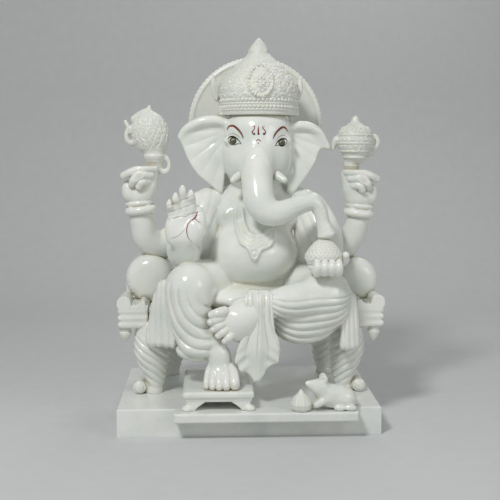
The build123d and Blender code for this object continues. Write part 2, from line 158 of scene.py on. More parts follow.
def outline_distance(x, z, points):
    """Distance to a closed flat outline, below zero inside."""
    pts = np.asarray(points, np.float32)
    best = np.full(len(x), 1e6, np.float32)
    inside = np.zeros(len(x), bool)
    for (ax, az), (bx, bz) in zip(pts, np.roll(pts, -1, axis=0)):
        ex, ez = bx - ax, bz - az
        wx, wz = x - ax, z - az
        t = np.clip((wx * ex + wz * ez) / (ex * ex + ez * ez + 1e-9), 0, 1)
        best = np.minimum(best, (wx - ex * t) ** 2 + (wz - ez * t) ** 2)
        crosses = (az > z) != (bz > z)
        inside ^= crosses & (x < ax + ex * (z - az) / (bz - az if bz != az else 1e-9))
    return np.where(inside, -1, 1) * np.sqrt(best)


def turned(p, centre, profile, rounding=1.0):
    """A lathe shape: the profile is a list of height and radius pairs, measured from centre."""
    q = moved(p, centre)
    r = np.sqrt(q[:, 0] ** 2 + q[:, 1] ** 2)
    sides = [(radius, height) for height, radius in profile]
    mirror = [(-radius, height) for height, radius in reversed(profile)]
    return outline_distance(r, q[:, 2], sides + mirror) - rounding


def board(p, outline, y, half, rounding=2.0):
    """A flat piece: a curved outline in x and z with a thickness along y. y may change from point to
    point.
    """
    flat = outline_distance(p[:, 0], p[:, 2], smooth_loop(outline)) + rounding
    deep = np.abs(p[:, 1] - y) - half + rounding
    both = np.stack([flat, deep], axis=1)
    return length(np.maximum(both, 0)) + np.minimum(both.max(axis=1), 0) - rounding


def smooth_loop(points, steps=4):
    """A closed outline rounded through its points."""
    pts = np.asarray(points, np.float32)
    t = np.linspace(0, 1, steps, endpoint=False, dtype=np.float32)[:, None]
    out = []
    for i in range(len(pts)):
        a, b, c, d = (pts[(i + k) % len(pts)] for k in (-1, 0, 1, 2))
        out.append(
            0.5 * (2 * b + (c - a) * t + (2 * a - 5 * b + 4 * c - d) * t**2 + (3 * b - a - 3 * c + d) * t**3)
        )
    return np.vstack(out)


def bump(x, width):
    """A smooth rise from 0 to 1 and back over twice the width."""
    return np.clip(1 - (x / width) ** 2, 0, 1) ** 2


def ease(x, start, end):
    t = np.clip((x - start) / (end - start), 0, 1)
    return t * t * (3 - 2 * t)


def folds(phase, sharp=0.6):
    """Rounded ridges with narrow valleys, as in carved cloth: 1 on a ridge and 0 in a valley, once per
    unit of phase.
    """
    wave = np.abs(np.sin(math.pi * phase))
    return wave**sharp


print("lumps ready")

SHAPES = {}


def shape(*nodes):
    """Files a shape function under the CAD pieces it stands for."""
    def keep(function):
        for node in nodes:
            SHAPES[node] = function
        return function
    return keep


# %% [markdown]
# ## Head
# An elephant's head is a broad skull with full cheeks, and the trunk starts as a long ridge between the
# eyes. Eggs melted together give those soft passages, which polished marble shows as one long highlight.

# %% Head and trunk


@shape("head")
def head(p):
    skull = egg(p, (0, 5, 7), (54, 55, 64))
    forehead = egg(p, (0, -18, 27), (46, 36, 32))
    cheeks = np.minimum(egg(p, (-27, -20, -23), (26, 31, 33)), egg(p, (25, -20, -23), (26, 31, 33)))
    ridge = rope(p, [(0, -30, 20, 18), (-1, -42, -3, 20), (-3, -54, -27, 22), (-4, -62, -47, 22)])
    jaw = egg(p, (-1, -12, -43), (36, 34, 24))
    face = melt(22, melt(20, skull, forehead), cheeks, jaw)
    face = melt(20, face, ridge)
    for x in (-41, 38):
        lids = egg(p, (x, -33, 9), (14, 9, 8))
        face = melt(6, face, lids)
    return face


@shape("trunk")
def trunk(p):
    route = [
        (-45.7, 31.2, 40.6, 20), (-47.7, 19.2, 17.6, 23), (-47.2, 5.2, -7.4, 24),
        (-43.7, -5.8, -29.4, 23.5), (-31.7, -12.8, -42.4, 21),
        (-14.7, -14.8, -43.9, 18.5), (4.3, -14.8, -36.4, 15.5), (22.3, -14.8, -29.4, 14),
        (37.3, -13.8, -29.4, 12.5),
        (46.3, -13.8, -41.4, 11), (51.3, -13.8, -59.4, 10.5), (55.3, -13.8, -71.4, 12.5),
    ]
    tube = rope(p, route, 6)
    lip = egg(p, (56.8, -14.8, -77.4), (14, 12.5, 5), (0, -14, 0))
    nostril = egg(p, (57.3, -14.8, -83.4), (8, 6, 5))
    tube = scoop(2, melt(6, tube, lip), nostril)
    rings = 0.1 * np.sin(length(p[:, [0, 2]] - np.float32([-1.7, 15.6])) * 0.9)
    return tube - rings * ease(p[:, 0], -21.7, 18.3)


def tusk_for(side):
    """A short blunt tusk that leans out to its own side."""
    return lambda p: rope(p, [(-side * 10, 14, 6, 9), (-side * 1, 0, 0, 8), (side * 9, -9, -6, 5.2)])


SHAPES["tusk_left"], SHAPES["tusk_right"] = tusk_for(-1), tusk_for(1)

# %% [markdown]
# ## Ears
# Each ear is a thin leaf that is rolled forward along its upper rim and creased like a fan, so it needs an
# outline, a thickness that follows a tilted surface, and shallow grooves that spread from the root.

# %% Ears


def ear_leaf(p, outline, rim, root, tilt):
    x, y, z = p.T
    lean = tilt(x, z)
    away = np.sqrt((x - root[0]) ** 2 + (z - root[1]) ** 2)
    angle = np.arctan2(z - root[1], np.abs(x - root[0]))
    grooves = 1.1 * (
        folds(angle * 3.4 + 0.2, 0.8) - 0.6
    ) * ease(away, 16, 40) * (1 - 0.8 * ease(away, 70, 105))
    leaf = board(p, outline, lean - grooves, 4.2, 3.2)
    return melt(7, leaf, rope(p, rim))


@shape("ear_left")
def ear_left(p):
    outline = [
        (41.2, 54), (19.2, 57), (-2.8, 56), (-25.8, 45), (-37.8, 29), (-30.8, 9), (-22.8, -10),
        (-8.8, -31), (11.2, -47), (28.2, -60), (33.2, -42), (35.2, -22), (43.2, 8),
    ]
    rim = [
        (39.2, -5.5, 48, 6), (21.2, -6.5, 54, 7.5), (-2.8, -5.5, 52, 7.5), (-24.8, -1.5, 41, 6.5),
        (-35.8, 2.5, 29, 3.5)
    ]
    return ear_leaf(p, outline, rim, (45.2, 40), lambda x, z: 0.5 - 0.16 * (18 - z) * (z < 18) - 0.05 * x)


@shape("ear_right")
def ear_right(p):
    outline = [
        (-36.6, 52.3), (-14.6, 54.3), (3.4, 52.3), (18.4, 42.3), (26.4, 28.3), (32.4, 14.3), (17.4, 12.3),
        (8.4, -9.7),
        (-7.6, -33.7), (-24.6, -53.7), (-34.6, -56.7), (-37.6, -35.7), (-38.6, -12.7), (-42.6, 17.3),
    ]
    rim = [
        (-34.6, -5.5, 45.3, 6), (-16.6, -6.5, 50.3, 7), (1.4, -4.5, 47.3, 7), (16.4, -0.5, 37.3, 6),
        (29.4, 3.5, 16.3, 3.5)
    ]
    return ear_leaf(
        p, outline, rim, (-46.6, 40.3), lambda x, z: 0.5 - 0.16 * (22.3 - z) * (z < 22.3) + 0.05 * x
    )


# %% [markdown]
# ## Crown, leaves and halo
# The crown is turned first and then covered with relief: a beaded band, rows of curled leaves and one big
# pointed panel in front. The rows are one small pattern repeated round the axis, so a few lines of
# arithmetic on the angle make hundreds of leaves.

# %% Crown


def petal_rows(p, middle, rows):
    """Raised petals in rings: each row gives a height, how many petals go round, their height and their
    relief.
    """
    x, y, z = moved(p, middle).T
    turn = np.arctan2(x, -y) + 0.035 * np.sin(z * 0.55) + 0.02 * np.sin(z * 1.7 + x * 0.2)
    radius = np.sqrt(x * x + y * y)
    z = z + 1.1 * np.sin(turn * 9) + 0.7 * np.sin(turn * 23 + z * 0.3)
    relief = np.zeros(len(p), np.float32)
    for row, (height, count, tall, depth) in enumerate(rows):
        step = 2 * math.pi / count
        side = ((turn / step + 0.5 * (row % 2)) % 1 - 0.5) * step * radius
        up = (z - height) / tall
        wide = step * radius * 0.5
        petal = 1 - (side / np.maximum(wide * (1 - 0.55 * np.clip(up + 0.5, 0, 1)), 1)) ** 2 - (2 * up) ** 2
        curl = 0.6 * bump(side, wide * 0.4) * bump(up + 0.1, 0.34) - 0.25 * np.cos(side * 1.8 + up * 5)
        relief = np.maximum(relief, depth * (np.clip(petal, 0, 1) ** 0.5 - curl))
    return relief


@shape("crown")
def crown(p):
    middle = (0, 0, -45.5)
    profile = [
        (-6, 58), (1, 59), (14, 60), (24, 61.5), (34, 61), (43, 57), (52, 50.5), (62, 42), (72, 31.5),
        (80, 23), (88, 16), (91, 15),
    ]
    cap = turned(p, middle, profile, 1.5)
    rows = [(22 + 9.5 * k, 26 - 2 * k, 11, 2.2 - 0.12 * k) for k in range(7)]
    cap = cap - petal_rows(p, middle, rows)
    x, y, z = moved(p, middle).T
    turn = np.arctan2(x, -y)
    radius = np.sqrt(x * x + y * y)
    beads = 60
    side = ((turn * beads / (2 * math.pi)) % 1 - 0.5) * 2 * math.pi * radius / beads
    for height in (4.5, 14.5):
        cap = cap - np.sqrt(np.clip(1 - (side / 2.9) ** 2 - ((z - height) / 2.9) ** 2, 0, 1)) * 2.2
    cap = cap - 1.5 * bump(z - 0.0, 2.0) - 1.3 * bump(z - 9.5, 2.2)
    across, up = x / 20, (z - 45) / 27
    front = (y < 0) * ease(-y, 4, 16)
    shield = np.sqrt(across**2 + up**2) + 0.3 * np.abs(across) * np.clip(up, 0, 1)
    studs = 0.5 + 0.5 * np.cos(np.arctan2(across, up) * 26)
    panel = 2.4 * bump(shield, 1.0) + bump(shield - 0.95, 0.16) * (1.6 + 2.0 * studs)
    flower = np.sqrt(x**2 + (z - 42) ** 2)
    petals = 2.4 * bump(flower - 6, 4) * (
        0.5 + 0.5 * np.cos(np.arctan2(x, z - 42) * 8)
    ) + 2.4 * bump(flower, 3)
    cap = cap - front * (panel + petals)
    lappets = np.minimum(egg(p, (-58, 5, -51.5), (9, 20, 19)), egg(p, (56, 5, -51.5), (9, 20, 19)))
    return melt(5, cap, lappets)


@shape("crown_finial")
def crown_finial(p):
    profile = [(-17, 15), (-13, 16.5), (-9, 16), (-3, 12.5), (3, 8), (8, 3.6), (10.5, 0.6)]
    cone = turned(p, (0, 0, 0), profile, 0.6)
    return cone - 0.35 * np.cos(np.arctan2(p[:, 1], p[:, 0]) * 8) * ease(-p[:, 2], 2, 8)


@shape("crown_leaf_left")
def crown_leaf_left(p):
    outline = [
        (-10.2, 21.8), (-3.2, 11.8), (8.8, 2.8), (4.8, -9.2), (-4.2, -21.2), (-11.2, -10.2), (-14.2, 4.8)
    ]
    return board(p, outline, -6.3 + 0.25 * p[:, 0], 6.5, 5.5)


@shape("crown_leaf_right")
def crown_leaf_right(p):
    outline = [(3.7, 18.8), (-3.8, 8.8), (-10.8, 0.8), (-6.8, -9.2), (0.2, -18.2), (6.2, -8.2), (7.2, 3.8)]
    return board(p, outline, -6.3 - 0.25 * p[:, 0], 6.5, 5.5)


@shape("halo_ring")
def halo_ring(p):
    x, y, z = p.T
    angle = np.arctan2(z, x)
    radius = np.sqrt(x * x + z * z)
    teeth = 1.7 * np.sqrt(np.abs(np.sin(angle * 45)))
    outer = radius - 110.5 - teeth
    rim_roll = 1.4 * bump(radius - 105, 4) + 1.0 * bump(radius - 60.5, 3)
    band = np.maximum(outer, 57 - radius)
    both = np.stack([band + 2.5, np.abs(y) - 6.2 + 2.5 - rim_roll], axis=1)
    return length(np.maximum(both, 0)) + np.minimum(both.max(axis=1), 0) - 2.5


# %% [markdown]
# ## Body
# The belly is one full round egg, and the chest, shoulders and hips melt into it. The navel is a small
# scoop, and the necklace is the body's own skin made thicker inside an outline, so it fits exactly.

# %% Body and necklace


@shape("torso")
def torso(p):
    belly = egg(p, (-1, -5.4, -14.5), (71.5, 77, 56))
    chest = egg(p, (5, 12.6, 41.5), (60, 44, 48))
    breasts = np.minimum(egg(p, (-33, -13.4, 47.5), (27, 22, 24)), egg(p, (43, -13.4, 47.5), (27, 22, 24)))
    yoke = bar(p, (-51, 18.6, 62.5), (65, 18.6, 62.5), 25, 25)
    neck = bar(p, (7, 16.6, 69.5), (7, 12.6, 111.5), 34, 36)
    hips = egg(p, (0, 14.6, -71.5), (92, 66, 34))
    body = melt(26, chest, yoke, neck)
    body = melt(14, body, breasts)
    body = melt(16, body, belly)
    lap = egg(p, (-17, -43.4, -80.5), (66, 52, 19))
    body = melt(9, body, hips, lap)
    for x in (-44, 55):
        ring = length(p[:, [0, 2]] - np.float32([x, 49.5]))
        body = body - (p[:, 1] < 0) * (1.2 * bump(ring, 12) + 1.0 * bump(ring, 4))
    dip = egg(p, (-2, -84.4, -51.5), (3.2, 5, 2.4))
    body = scoop(4, body, dip)
    return np.maximum(body, -97.5 - p[:, 2])


NECKLACE_TO_TORSO = (home("necklace") - home("torso")).astype(np.float32)


@shape("necklace")
def necklace(p):
    x, y, z = p.T
    outline = [
        (-44, 83.5), (-46.5, 51.5), (-46.5, 23.5), (-41, 0.5), (-29, -9.5), (-18.3, -29.5), (-7, -11.5),
        (6, -6.5),
        (15, 6.5), (16, 21.5), (0, 20.5), (-5, 14.5), (-20, 14.5), (-30, 26.5), (-34, 57.5), (-33, 83.5),
    ]
    flat = outline_distance(x, z, smooth_loop(outline, 3))
    skin = torso(p + NECKLACE_TO_TORSO)
    low = ease(-z, -29.5, -11.5)
    across, up = x - -15, z - 41.5
    angle = np.arctan2(across, -up)
    scallop = np.abs(np.sin(angle * 9))
    bead = low * (2.0 * bump(flat + 3.4, 2.8) * (0.2 + 0.8 * scallop) + 1.2 * bump(flat + 9, 2.8) * scallop)
    edge = 1.0 * bump(flat + 1.5, 2.2)
    stone = length(p[:, [0, 2]] - np.float32([-18.3, -15.5]))
    pendant = 2.0 * bump(stone, 4.5) + 1.2 * bump(stone - 7.5, 2)
    lump = np.maximum(skin - 2.6 - bead - edge - pendant, flat + 0.3 + 1.6 * low * (1 - scallop))
    return np.maximum(lump, y - 45.1)


# %% [markdown]
# ## Arms
# There are four arms. Each is one tapered rope through shoulder, elbow and wrist. The raised front arm
# wears the end of a shawl, so it has long soft folds, and the rear arms end in ribbed bangles.

# %% Arms and bangles


@shape("arm_front_left")
def arm_front_left(p):
    route = [
        (35.3, 45.6, 42.1, 26), (7.3, 38.6, 35.1, 28), (-14.7, 21.6, 5.1, 31), (-23.7, -4.4, -26.9, 28),
        (-22.7, -24.4, -28.9, 23),
        (-21.7, -38.4, -12.9, 15),
    ]
    arm = rope(p, route, 6)
    x, y, z = p.T
    shawl = rope(p, [(17.3, 29.6, 32.1, 20), (9.3, 23.6, -7.9, 20), (9.3, 27.6, -46.9, 19)])
    arm = melt(12, arm, shawl)
    sleeve = folds((x - 0.5 * z + 0.4 * y) / 17.0, 0.6) - 0.6
    return arm - 1.6 * sleeve * ease(z, -50.9, -22.9) * ease(y, -30.4, -8.4)


@shape("arm_front_right")
def arm_front_right(p):
    arm = rope(
        p,
        [
            (-31.3, 46, 45, 26), (-5.3, 37, 34, 28), (12.7, 18, 2, 28), (20.7, -8, -28, 23),
            (14.7, -26, -40, 18), (8.7, -44, -47, 14)
        ],
        6
    )
    x, y, z = p.T
    shawl = rope(p, [(-15.3, 30, 30, 18), (-11.3, 24, -8, 18), (-13.3, 28, -42, 17)])
    arm = melt(12, arm, shawl)
    sleeve = folds((x + 0.5 * z - 0.4 * y) / 17.0, 0.6) - 0.6
    return arm - 1.6 * sleeve * ease(z, -48, -20) * ease(y, -30, -8)


@shape("arm_rear_left")
def arm_rear_left(p):
    return rope(
        p,
        [
            (63, 5.2, 38.4, 22), (10, 9.2, 8.4, 23), (-33, 3.2, -16.6, 24), (-55, -4.8, -5.6, 23),
            (-63, -11.8, 18.4, 20), (-66, -15.8, 44.4, 18)
        ],
        6
    )


@shape("arm_rear_right")
def arm_rear_right(p):
    return rope(
        p,
        [
            (-52.9, 5.1, 44.8, 22), (-8.9, 9.1, 14.8, 23), (23.1, 3.1, -12.2, 24), (42.1, -4.9, -1.2, 22),
            (50.1, -11.9, 20.8, 19), (54.1, -15.9, 44.8, 17)
        ],
        6
    )


def bangle(side):
    """A thick roll with a thinner one above it, tipped a little towards the figure."""
    def band(p):
        q = moved(p, (0, 0, 0), (0, side * 7, 0))
        radius = np.sqrt(q[:, 0] ** 2 + q[:, 1] ** 2)
        rolls = [
            np.sqrt((radius - 19) ** 2 + (q[:, 2] - height) ** 2) - thick for height,
            thick in ((-6.0, 7.0), (6.0, 4.6))
        ]
        return melt(1.5, rolls[0], rolls[1], brick(q, (0, 0, -1), (18, 18, 7), 6))
    return band


SHAPES["bangle_left"], SHAPES["bangle_right"] = bangle(-1), bangle(1)

# %% [markdown]
# ## Hands
# A finger is a short rope that thins towards its tip. The raised palm shows its creases as shallow grooves,
# which are later lined with red enamel.

# %% Hands


@shape("hand_front_left")
def hand_front_left(p):
    palm = egg(p, (-4, 1.2, -18.4), (27, 13, 34))
    heel = rope(p, [(-2, 9.2, -43.4, 17), (-3, 3.2, -29.4, 20)])
    mound = egg(p, (12, -7.8, -22.4), (15, 10.5, 21), (0, 10, 0))
    small_mound = egg(p, (-21, -4.8, -21.4), (9.5, 8, 21))
    hand = melt(8, palm, heel, small_mound)
    hand = melt(4, hand, mound)
    tips = [
        (-20, -3.4, -24.5, 25.6, 6.2), (-12, 0.6, -15, 35.6, 6.7), (-2, 3.6, -4.5, 46.6, 7),
        (8.5, 4.6, 8, 39.6, 7.2)
    ]
    for x0, z0, x1, z1, r in tips:
        knuckle = z0 * 0.45 + z1 * 0.55
        finger = rope(p, [
            (x0, -0.8, z0, r * 1.06), ((x0 + x1) / 2, -4.8, knuckle, r * 1.02),
            (x1, -10.8, z1 - 8, r * 0.86), (x1, -12.8, z1 - 1, r * 0.45),
        ])
        hand = melt(2.0, hand, finger)
    thumb = rope(p, [(21, -2.8, -21.4, 9.5), (22, -0.8, -3.4, 8), (19, 1.2, 11.6, 5.8)])
    hand = melt(4, hand, thumb)
    x, y, z = p.T
    creases = np.zeros(len(p), np.float32)
    for height, slope in ((1.6, 0.22), (13.6, 0.34), (25.6, 0.4)):
        creases += 0.9 * bump(z - height - slope * (x - -5), 1.3)
    return hand + creases * (y < -2.8)


@shape("hand_front_right")
def hand_front_right(p):
    cup = egg(p, (-0.5, 3.6, 0.5), (27, 24, 11))
    for x in (-14.5, -3.5, 7.5, 18):
        finger = rope(
            p, [(x, -4.4, -5.5, 6.6), (x, -17.4, -6.5, 6.6), (x, -23.4, 1.5, 6.2), (x, -20.4, 9.5, 5)]
        )
        cup = melt(2.2, cup, finger)
    thumb = rope(p, [(19.5, 15.6, 1.5, 9), (28.5, 4.6, 8.5, 7.5), (30.5, -3.4, 17.5, 5.8)])
    return melt(4, cup, thumb)


def gripping_hand(side):
    """A fist seen from the back of its fingers, which curl down and outwards. side is 1 for the left
    hand, -1 for the right.
    """
    def hand(p):
        q = p * np.float32([side, 1, 1])
        palm = melt(9, egg(q, (4, 0, -4), (25, 19, 23)), rope(q, [(3, 4, -30, 17), (3, 3, -14, 20)]))
        palm = melt(3, palm, egg(q, (-15, -3, -5), (11, 14, 18)))
        palm = melt(8, palm, rope(q, [(16, -1, 8, 17), (21, -3, 26, 14)]))
        fingers = [
            [(32, -10, 42, 6.5), (22, -21, 41, 6.5), (9, -22, 38, 6.3), (4, -17, 36, 6)],
            [(26, -14, 32, 7), (10, -23, 31, 7), (-8, -21, 26, 6.8), (-21, -14, 20, 6.4)],
            [(20, -16, 21, 7), (6, -26, 21, 7), (-4, -25, 14, 6.6), (-8, -20, 7, 5.8)],
            [(16, -16, 10, 6.6), (8, -24, 10, 6.4), (3, -23, 3, 5.6)],
        ]
        for points in fingers:
            palm = melt(2.0, palm, rope(q, points))
        return palm
    return hand


SHAPES["hand_rear_left"], SHAPES["hand_rear_right"] = gripping_hand(1), gripping_hand(-1)

# %% [markdown]
# ## What the hands hold
# The two emblems are small turned pots with loops and a knob, and their skin is covered with the same
# petal relief as the crown. The sweets are a heap with a crossed pattern pressed into it.

# %% Emblems and sweets


def loop(p, centre, big, small, squash=1.0):
    """A ring that stands in the x-z plane."""
    q = moved(p, centre)
    flat = np.sqrt(q[:, 0] ** 2 + (q[:, 2] / squash) ** 2) - big
    return np.sqrt(flat * flat + q[:, 1] ** 2) - small


@shape("emblem_left")
def emblem_left(p):
    body = egg(p, (10.1, -2, 10.3), (28, 24, 36), (0, -14, 0))
    pattern = petal_rows(
        p, (10.1, -2, 10.3),
        [
            (-22, 12, 12, 1.8), (-13, 15, 12, 1.9), (-4, 17, 12, 2.0), (5, 17, 12, 2.0), (14, 14, 12, 1.9),
            (23, 10, 11, 1.6)
        ]
    )
    body = body - pattern
    neck = turned(p, (16.1, -2, -35.7), [(2, 11), (7, 14.5), (10, 15.5), (13, 14.5), (22, 15)], 2.0)
    foot = rope(p, [(17.1, 0, -29.7, 14), (15.1, 0, -41.7, 13), (12.1, 1, -50.7, 8)])
    knob = rope(p, [(5.1, -2, 38.3, 8), (8.1, -2, 47.3, 4.5), (9.1, -2, 53.3, 1.6)])
    step = rope(p, [(-14.9, -2, 32.3, 6), (-6.9, -2, 38.3, 6), (1.1, -2, 42.3, 6)])
    lip = rope(p, [(-28.9, -2, 28.3, 2.8), (-24.9, -2, 21.3, 3.6), (-20.9, -2, 12.3, 4)])
    handle = loop(p, (-18.9, -2, 6.3), 8.5, 4.0, 1.3)
    side_loop = loop(p, (32.1, -4, -39.7), 7.5, 3.2, 1.5)
    bits = melt(2, handle, lip, side_loop)
    return melt(3, melt(4, body, neck, foot, knob, step), bits)


@shape("emblem_right")
def emblem_right(p):
    middle = (-4.1, -2, 0)
    profile = [
        (-26, 11), (-22, 15), (-17, 18), (-13, 19), (-9, 22), (0, 25.5), (9, 27), (16, 26), (22, 24.5),
        (28, 19.5), (33, 12),
        (37, 7), (41, 5), (44, 4), (47, 0.6),
    ]
    jar = turned(p, middle, profile, 1.0)
    x, y, z = moved(p, middle).T
    bands = 1.6 * bump(
        z - 17.5, 2.2
    ) + 1.4 * bump(z - 4, 2.0) + 1.6 * bump(z + 9, 2.4) + 1.5 * bump(z + 19, 2.4)
    jar = jar - bands - petal_rows(p, middle, [(26, 16, 12, 1.8), (11, 22, 9, 1.5), (-3, 20, 9, 1.4)])
    stem = rope(p, [(-8.1, 0, -20, 12.5), (-9.1, 0, -34, 12.5), (-8.1, 1, -44, 9)])
    hook = rope(p, [(-28.1, -2, 10, 6), (-34.1, -2, 9, 6.5), (-38.1, -2, 1, 4.5), (-39.6, -2, -4, 3.5)])
    ring = loop(p, (25.9, -2, 6), 6.5, 4.0, 1.25)
    chip = rope(p, [(12.9, -2, -8, 6), (19.9, -2, -12, 5.5), (24.9, -2, -10, 3.5), (28.9, -2, -5, 2.2)])
    return melt(3, melt(4, jar, stem), hook, ring, chip)


@shape("sweets_heap")
def sweets_heap(p):
    heap = turned(
        p * np.float32([1, 1.25, 1]), (0, 0, 0),
        [(-17, 24), (-10, 27.5), (-4, 27), (4, 22), (12, 15), (18, 7), (20, 1)], 1.5
    )
    x, y, z = p.T
    turn = np.arctan2(x, -y) * 24
    weave = np.maximum(np.abs(np.sin((turn + z) * 0.42)), np.abs(np.sin((turn - z) * 0.42)))
    return heap - 1.7 * (weave - 0.8)


# %% [markdown]
# ## Legs, feet and cloth
# One leg is folded across and the other comes down to the footstool. The waist cloth clings to both in
# long curved folds, so the fold lines are written as curves first and then raised out of the surface.

# %% Legs and feet


@shape("leg_lowered")
def leg_lowered(p):
    x, y, z = p.T
    thigh = rope(p, [(51.6, 59.7, 31.6, 38), (17.6, 9.7, 39.6, 36), (-12.4, -32.3, 37.6, 32)], 4)
    knee = egg(p, (-13.4, -40.3, 39.6), (32.5, 29, 32))
    calf = rope(
        p,
        [
            (-13.4, -38.3, 31.6, 31), (-12.4, -42.3, 5.6, 33), (-8.4, -44.3, -24.4, 30),
            (1.6, -46.3, -50.4, 24)
        ],
        5
    )
    hem = egg(p, (-0.4, -45.3, -49.4), (34, 27, 17), (0, -24, 0))
    shin = rope(p, [(15.6, -47.3, -38.4, 20), (29.6, -52.3, -62.4, 17), (32.6, -53.3, -80.4, 16)])
    cloth = melt(14, thigh, knee, calf, hem)
    bow = np.sqrt((x - 27.6) ** 2 + ((z - 33.6) / 1.12) ** 2)
    lines = folds(bow / 13.5 + 0.2 * np.sin(x / 15), 0.65) - 0.66
    below = ease(-z - 0.5 * (x - -12.4), -41.6, -19.6)
    cloth = cloth - 3.6 * lines * below * ease(-y, 4.3, 28.3)
    return melt(2.5, cloth, shin)


def hanging(x, z):
    """How far a point lies down a bag of cloth that hangs in nested U folds between two sides."""
    return -z / np.sqrt(np.clip(1 - (x / 74) ** 2, 0.07, 1))


@shape("leg_folded")
def leg_folded(p):
    x, y, z = p.T
    thigh = rope(p, [(-21.1, 53.2, 2.8, 36), (12.9, 13.2, 4.8, 35), (40.9, -20.8, -0.2, 34)], 4)
    knee = egg(p, (39.9, -24.8, -2.2), (38, 34, 34))
    shin = rope(
        p,
        [
            (40.9, -28.8, -6.2, 30), (4.9, -44.8, -6.2, 28), (-29.1, -51.8, -10.2, 23),
            (-59.1, -54.8, -15.2, 18)
        ],
        5
    )
    leg = melt(14, thigh, knee, shin)
    drop = hanging(x - 14.9, z - 6.8)
    lines = folds(drop / 12.5 + 0.2 * np.sin((x - 0) / 17), 0.75) - 0.62
    return leg - 2.5 * lines * ease(drop, 4, 16) * ease(-y, -7.2, 16.8) * ease(x, -57.1, -43.1)


@shape("cloth_swag")
def cloth_swag(p):
    x, y, z = p.T
    bag = melt(
        16, egg(p, (3.9, 4.2, 22.5), (62, 34, 38)), egg(p, (-0.1, 2.2, -3.5), (48, 26, 36)),
        egg(p, (41.9, 12.2, 18.5), (30, 30, 32))
    )
    drop = hanging(x - 7.9, z - 48.5)
    lines = folds(drop / 12.5 + 0.2 * np.sin((x - -7) / 17), 0.75) - 0.62
    return bag - 2.8 * lines * ease(-y, -32.2, -16.2)


@shape("foot_lowered")
def foot_lowered(p):
    ankle = rope(p, [(-2.5, 6.3, 26, 16), (-2.5, 8.3, 8, 17)])
    heel = egg(p, (-2.5, 14.3, -8), (20, 22, 17))
    instep = rope(p, [(-2.5, 8.3, 2, 19), (-1.5, -1.7, -3, 18), (-1.5, -9.7, -8, 13)])
    foot = melt(10, ankle, heel, instep, egg(p, (-1.5, -0.7, -6), (23, 15, 15)))
    toes = [(-22.5, -20.7, 4.6), (-13.5, -24.7, 5.2), (-3.5, -26.7, 5.5), (7, -26.7, 5.8), (19.5, -23.7, 7.6)]
    for x, y, r in toes:
        inward = 0.8 * x
        path = [
            (inward, -1.7, 10, r * 0.8), (x * 0.92, y + 13, 3, r), (x, y + 3, -8, r * 1.05),
            (x, y, -19.5 + r * 0.85, r * 0.98),
        ]
        foot = melt(1.2, foot, rope(p, path))
        nail = egg(p, (x, y - r * 0.8, -20 + r * 1.25), (r * 0.55, r * 0.35, r * 0.5))
        foot = melt(0.8, foot, nail)
    return np.maximum(foot, -20 - p[:, 2])


@shape("foot_folded")
def foot_folded(p):
    foot = rope(p, [(43.4, 13.7, 19.4, 20), (23.4, 8.7, 11.4, 24), (5.4, 3.7, 3.4, 23)])
    foot = melt(
        10, foot, egg(p, (11.4, 4.7, -2.6), (25, 16, 31)),
        egg(p, (-6.6, -2.3, -1.6), (20, 12, 25), (0, -32, 0))
    )
    toes = [
        (-18.6, 19.4, -36.6, 14.4, 7.4), (-21.6, 9.4, -38.6, 3.4, 6.6), (-19.6, 0.4, -34.6, -7.1, 6.4),
        (-14.6, -8.6, -27.6, -16.6, 6.2), (-6.6, -16.6, -17.6, -24.6, 6)
    ]
    for x0, z0, x1, z1, r in toes:
        middle = ((x0 + x1) / 2, -15.3, (z0 + z1) / 2 + 1)
        toe = rope(p, [(x0, -9.3, z0, r), (*middle, r), (x1, -13.3, z1, r * 0.9)])
        foot = melt(1.8, foot, toe)
        nail = egg(p, (x1 - 1, -18.3, z1), (r * 0.55, r * 0.3, r * 0.5))
        foot = melt(0.8, foot, nail)
    return foot


# %% [markdown]
# ## Hanging cloth
# The pleated end of the waist cloth hangs in front as a flat tail with a wavy hem, and two narrow falls
# hang beside the knees.

# %% Pleat and falls


@shape("central_pleat")
def central_pleat(p):
    x, y, z = p.T
    outline = [
        (-15.5, 63.8), (2.5, 66.8), (20.5, 63.8), (22.5, 37.8), (24.5, 7.8), (31.5, -10.2), (34.5, -30.2),
        (29.5, -44.2), (17.5, -49.2),
        (9.5, -62.2), (-2.5, -70.2), (-14.5, -60.2), (-26.5, -55.2), (-34.5, -40.2), (-31.5, -24.2),
        (-23.5, -2.2), (-19.5, 27.8),
    ]
    spread = 1 + 1.1 * ease(-z, -27.8, 32.2)
    across = (x - 1.5 + 3 * ease(-z, -27.8, 42.2)) / spread
    pleats = 4.2 * folds(across / 8.4, 0.5) * (1 - 0.6 * ease(-z, 17.2, 47.2))
    middle_fold = 4.5 * bump(across, 6.0)
    wave = 1.5 * np.sin(z / 3.2 + np.abs(across) * 0.5) * ease(-z, 12.2, 36.2) * ease(np.abs(across), 4, 9)
    lean = 2 + 0.012 * np.clip(z - 43.8, 0, 30) ** 2.2
    return board(p, outline, lean, 8.0, 3.0) - (pleats + middle_fold + wave - 2) * (y < 3) * 0.8


def cloth_fall(outline, slope, pleat_width, top):
    """A fall of cloth that hangs in upright pleats and widens towards its hem. slope turns its outer
    side away.
    """
    def fall(p):
        x, y, z = p.T
        fan = 1 + 0.35 * ease(top - z, 0, 100)
        pleat = folds(x / fan / pleat_width + 0.12 * np.sin(z / 21), 0.55) - 0.7
        leaf = board(p, outline, slope * x, 15, 9)
        return leaf - 2.4 * pleat * (y < slope * x)
    return fall


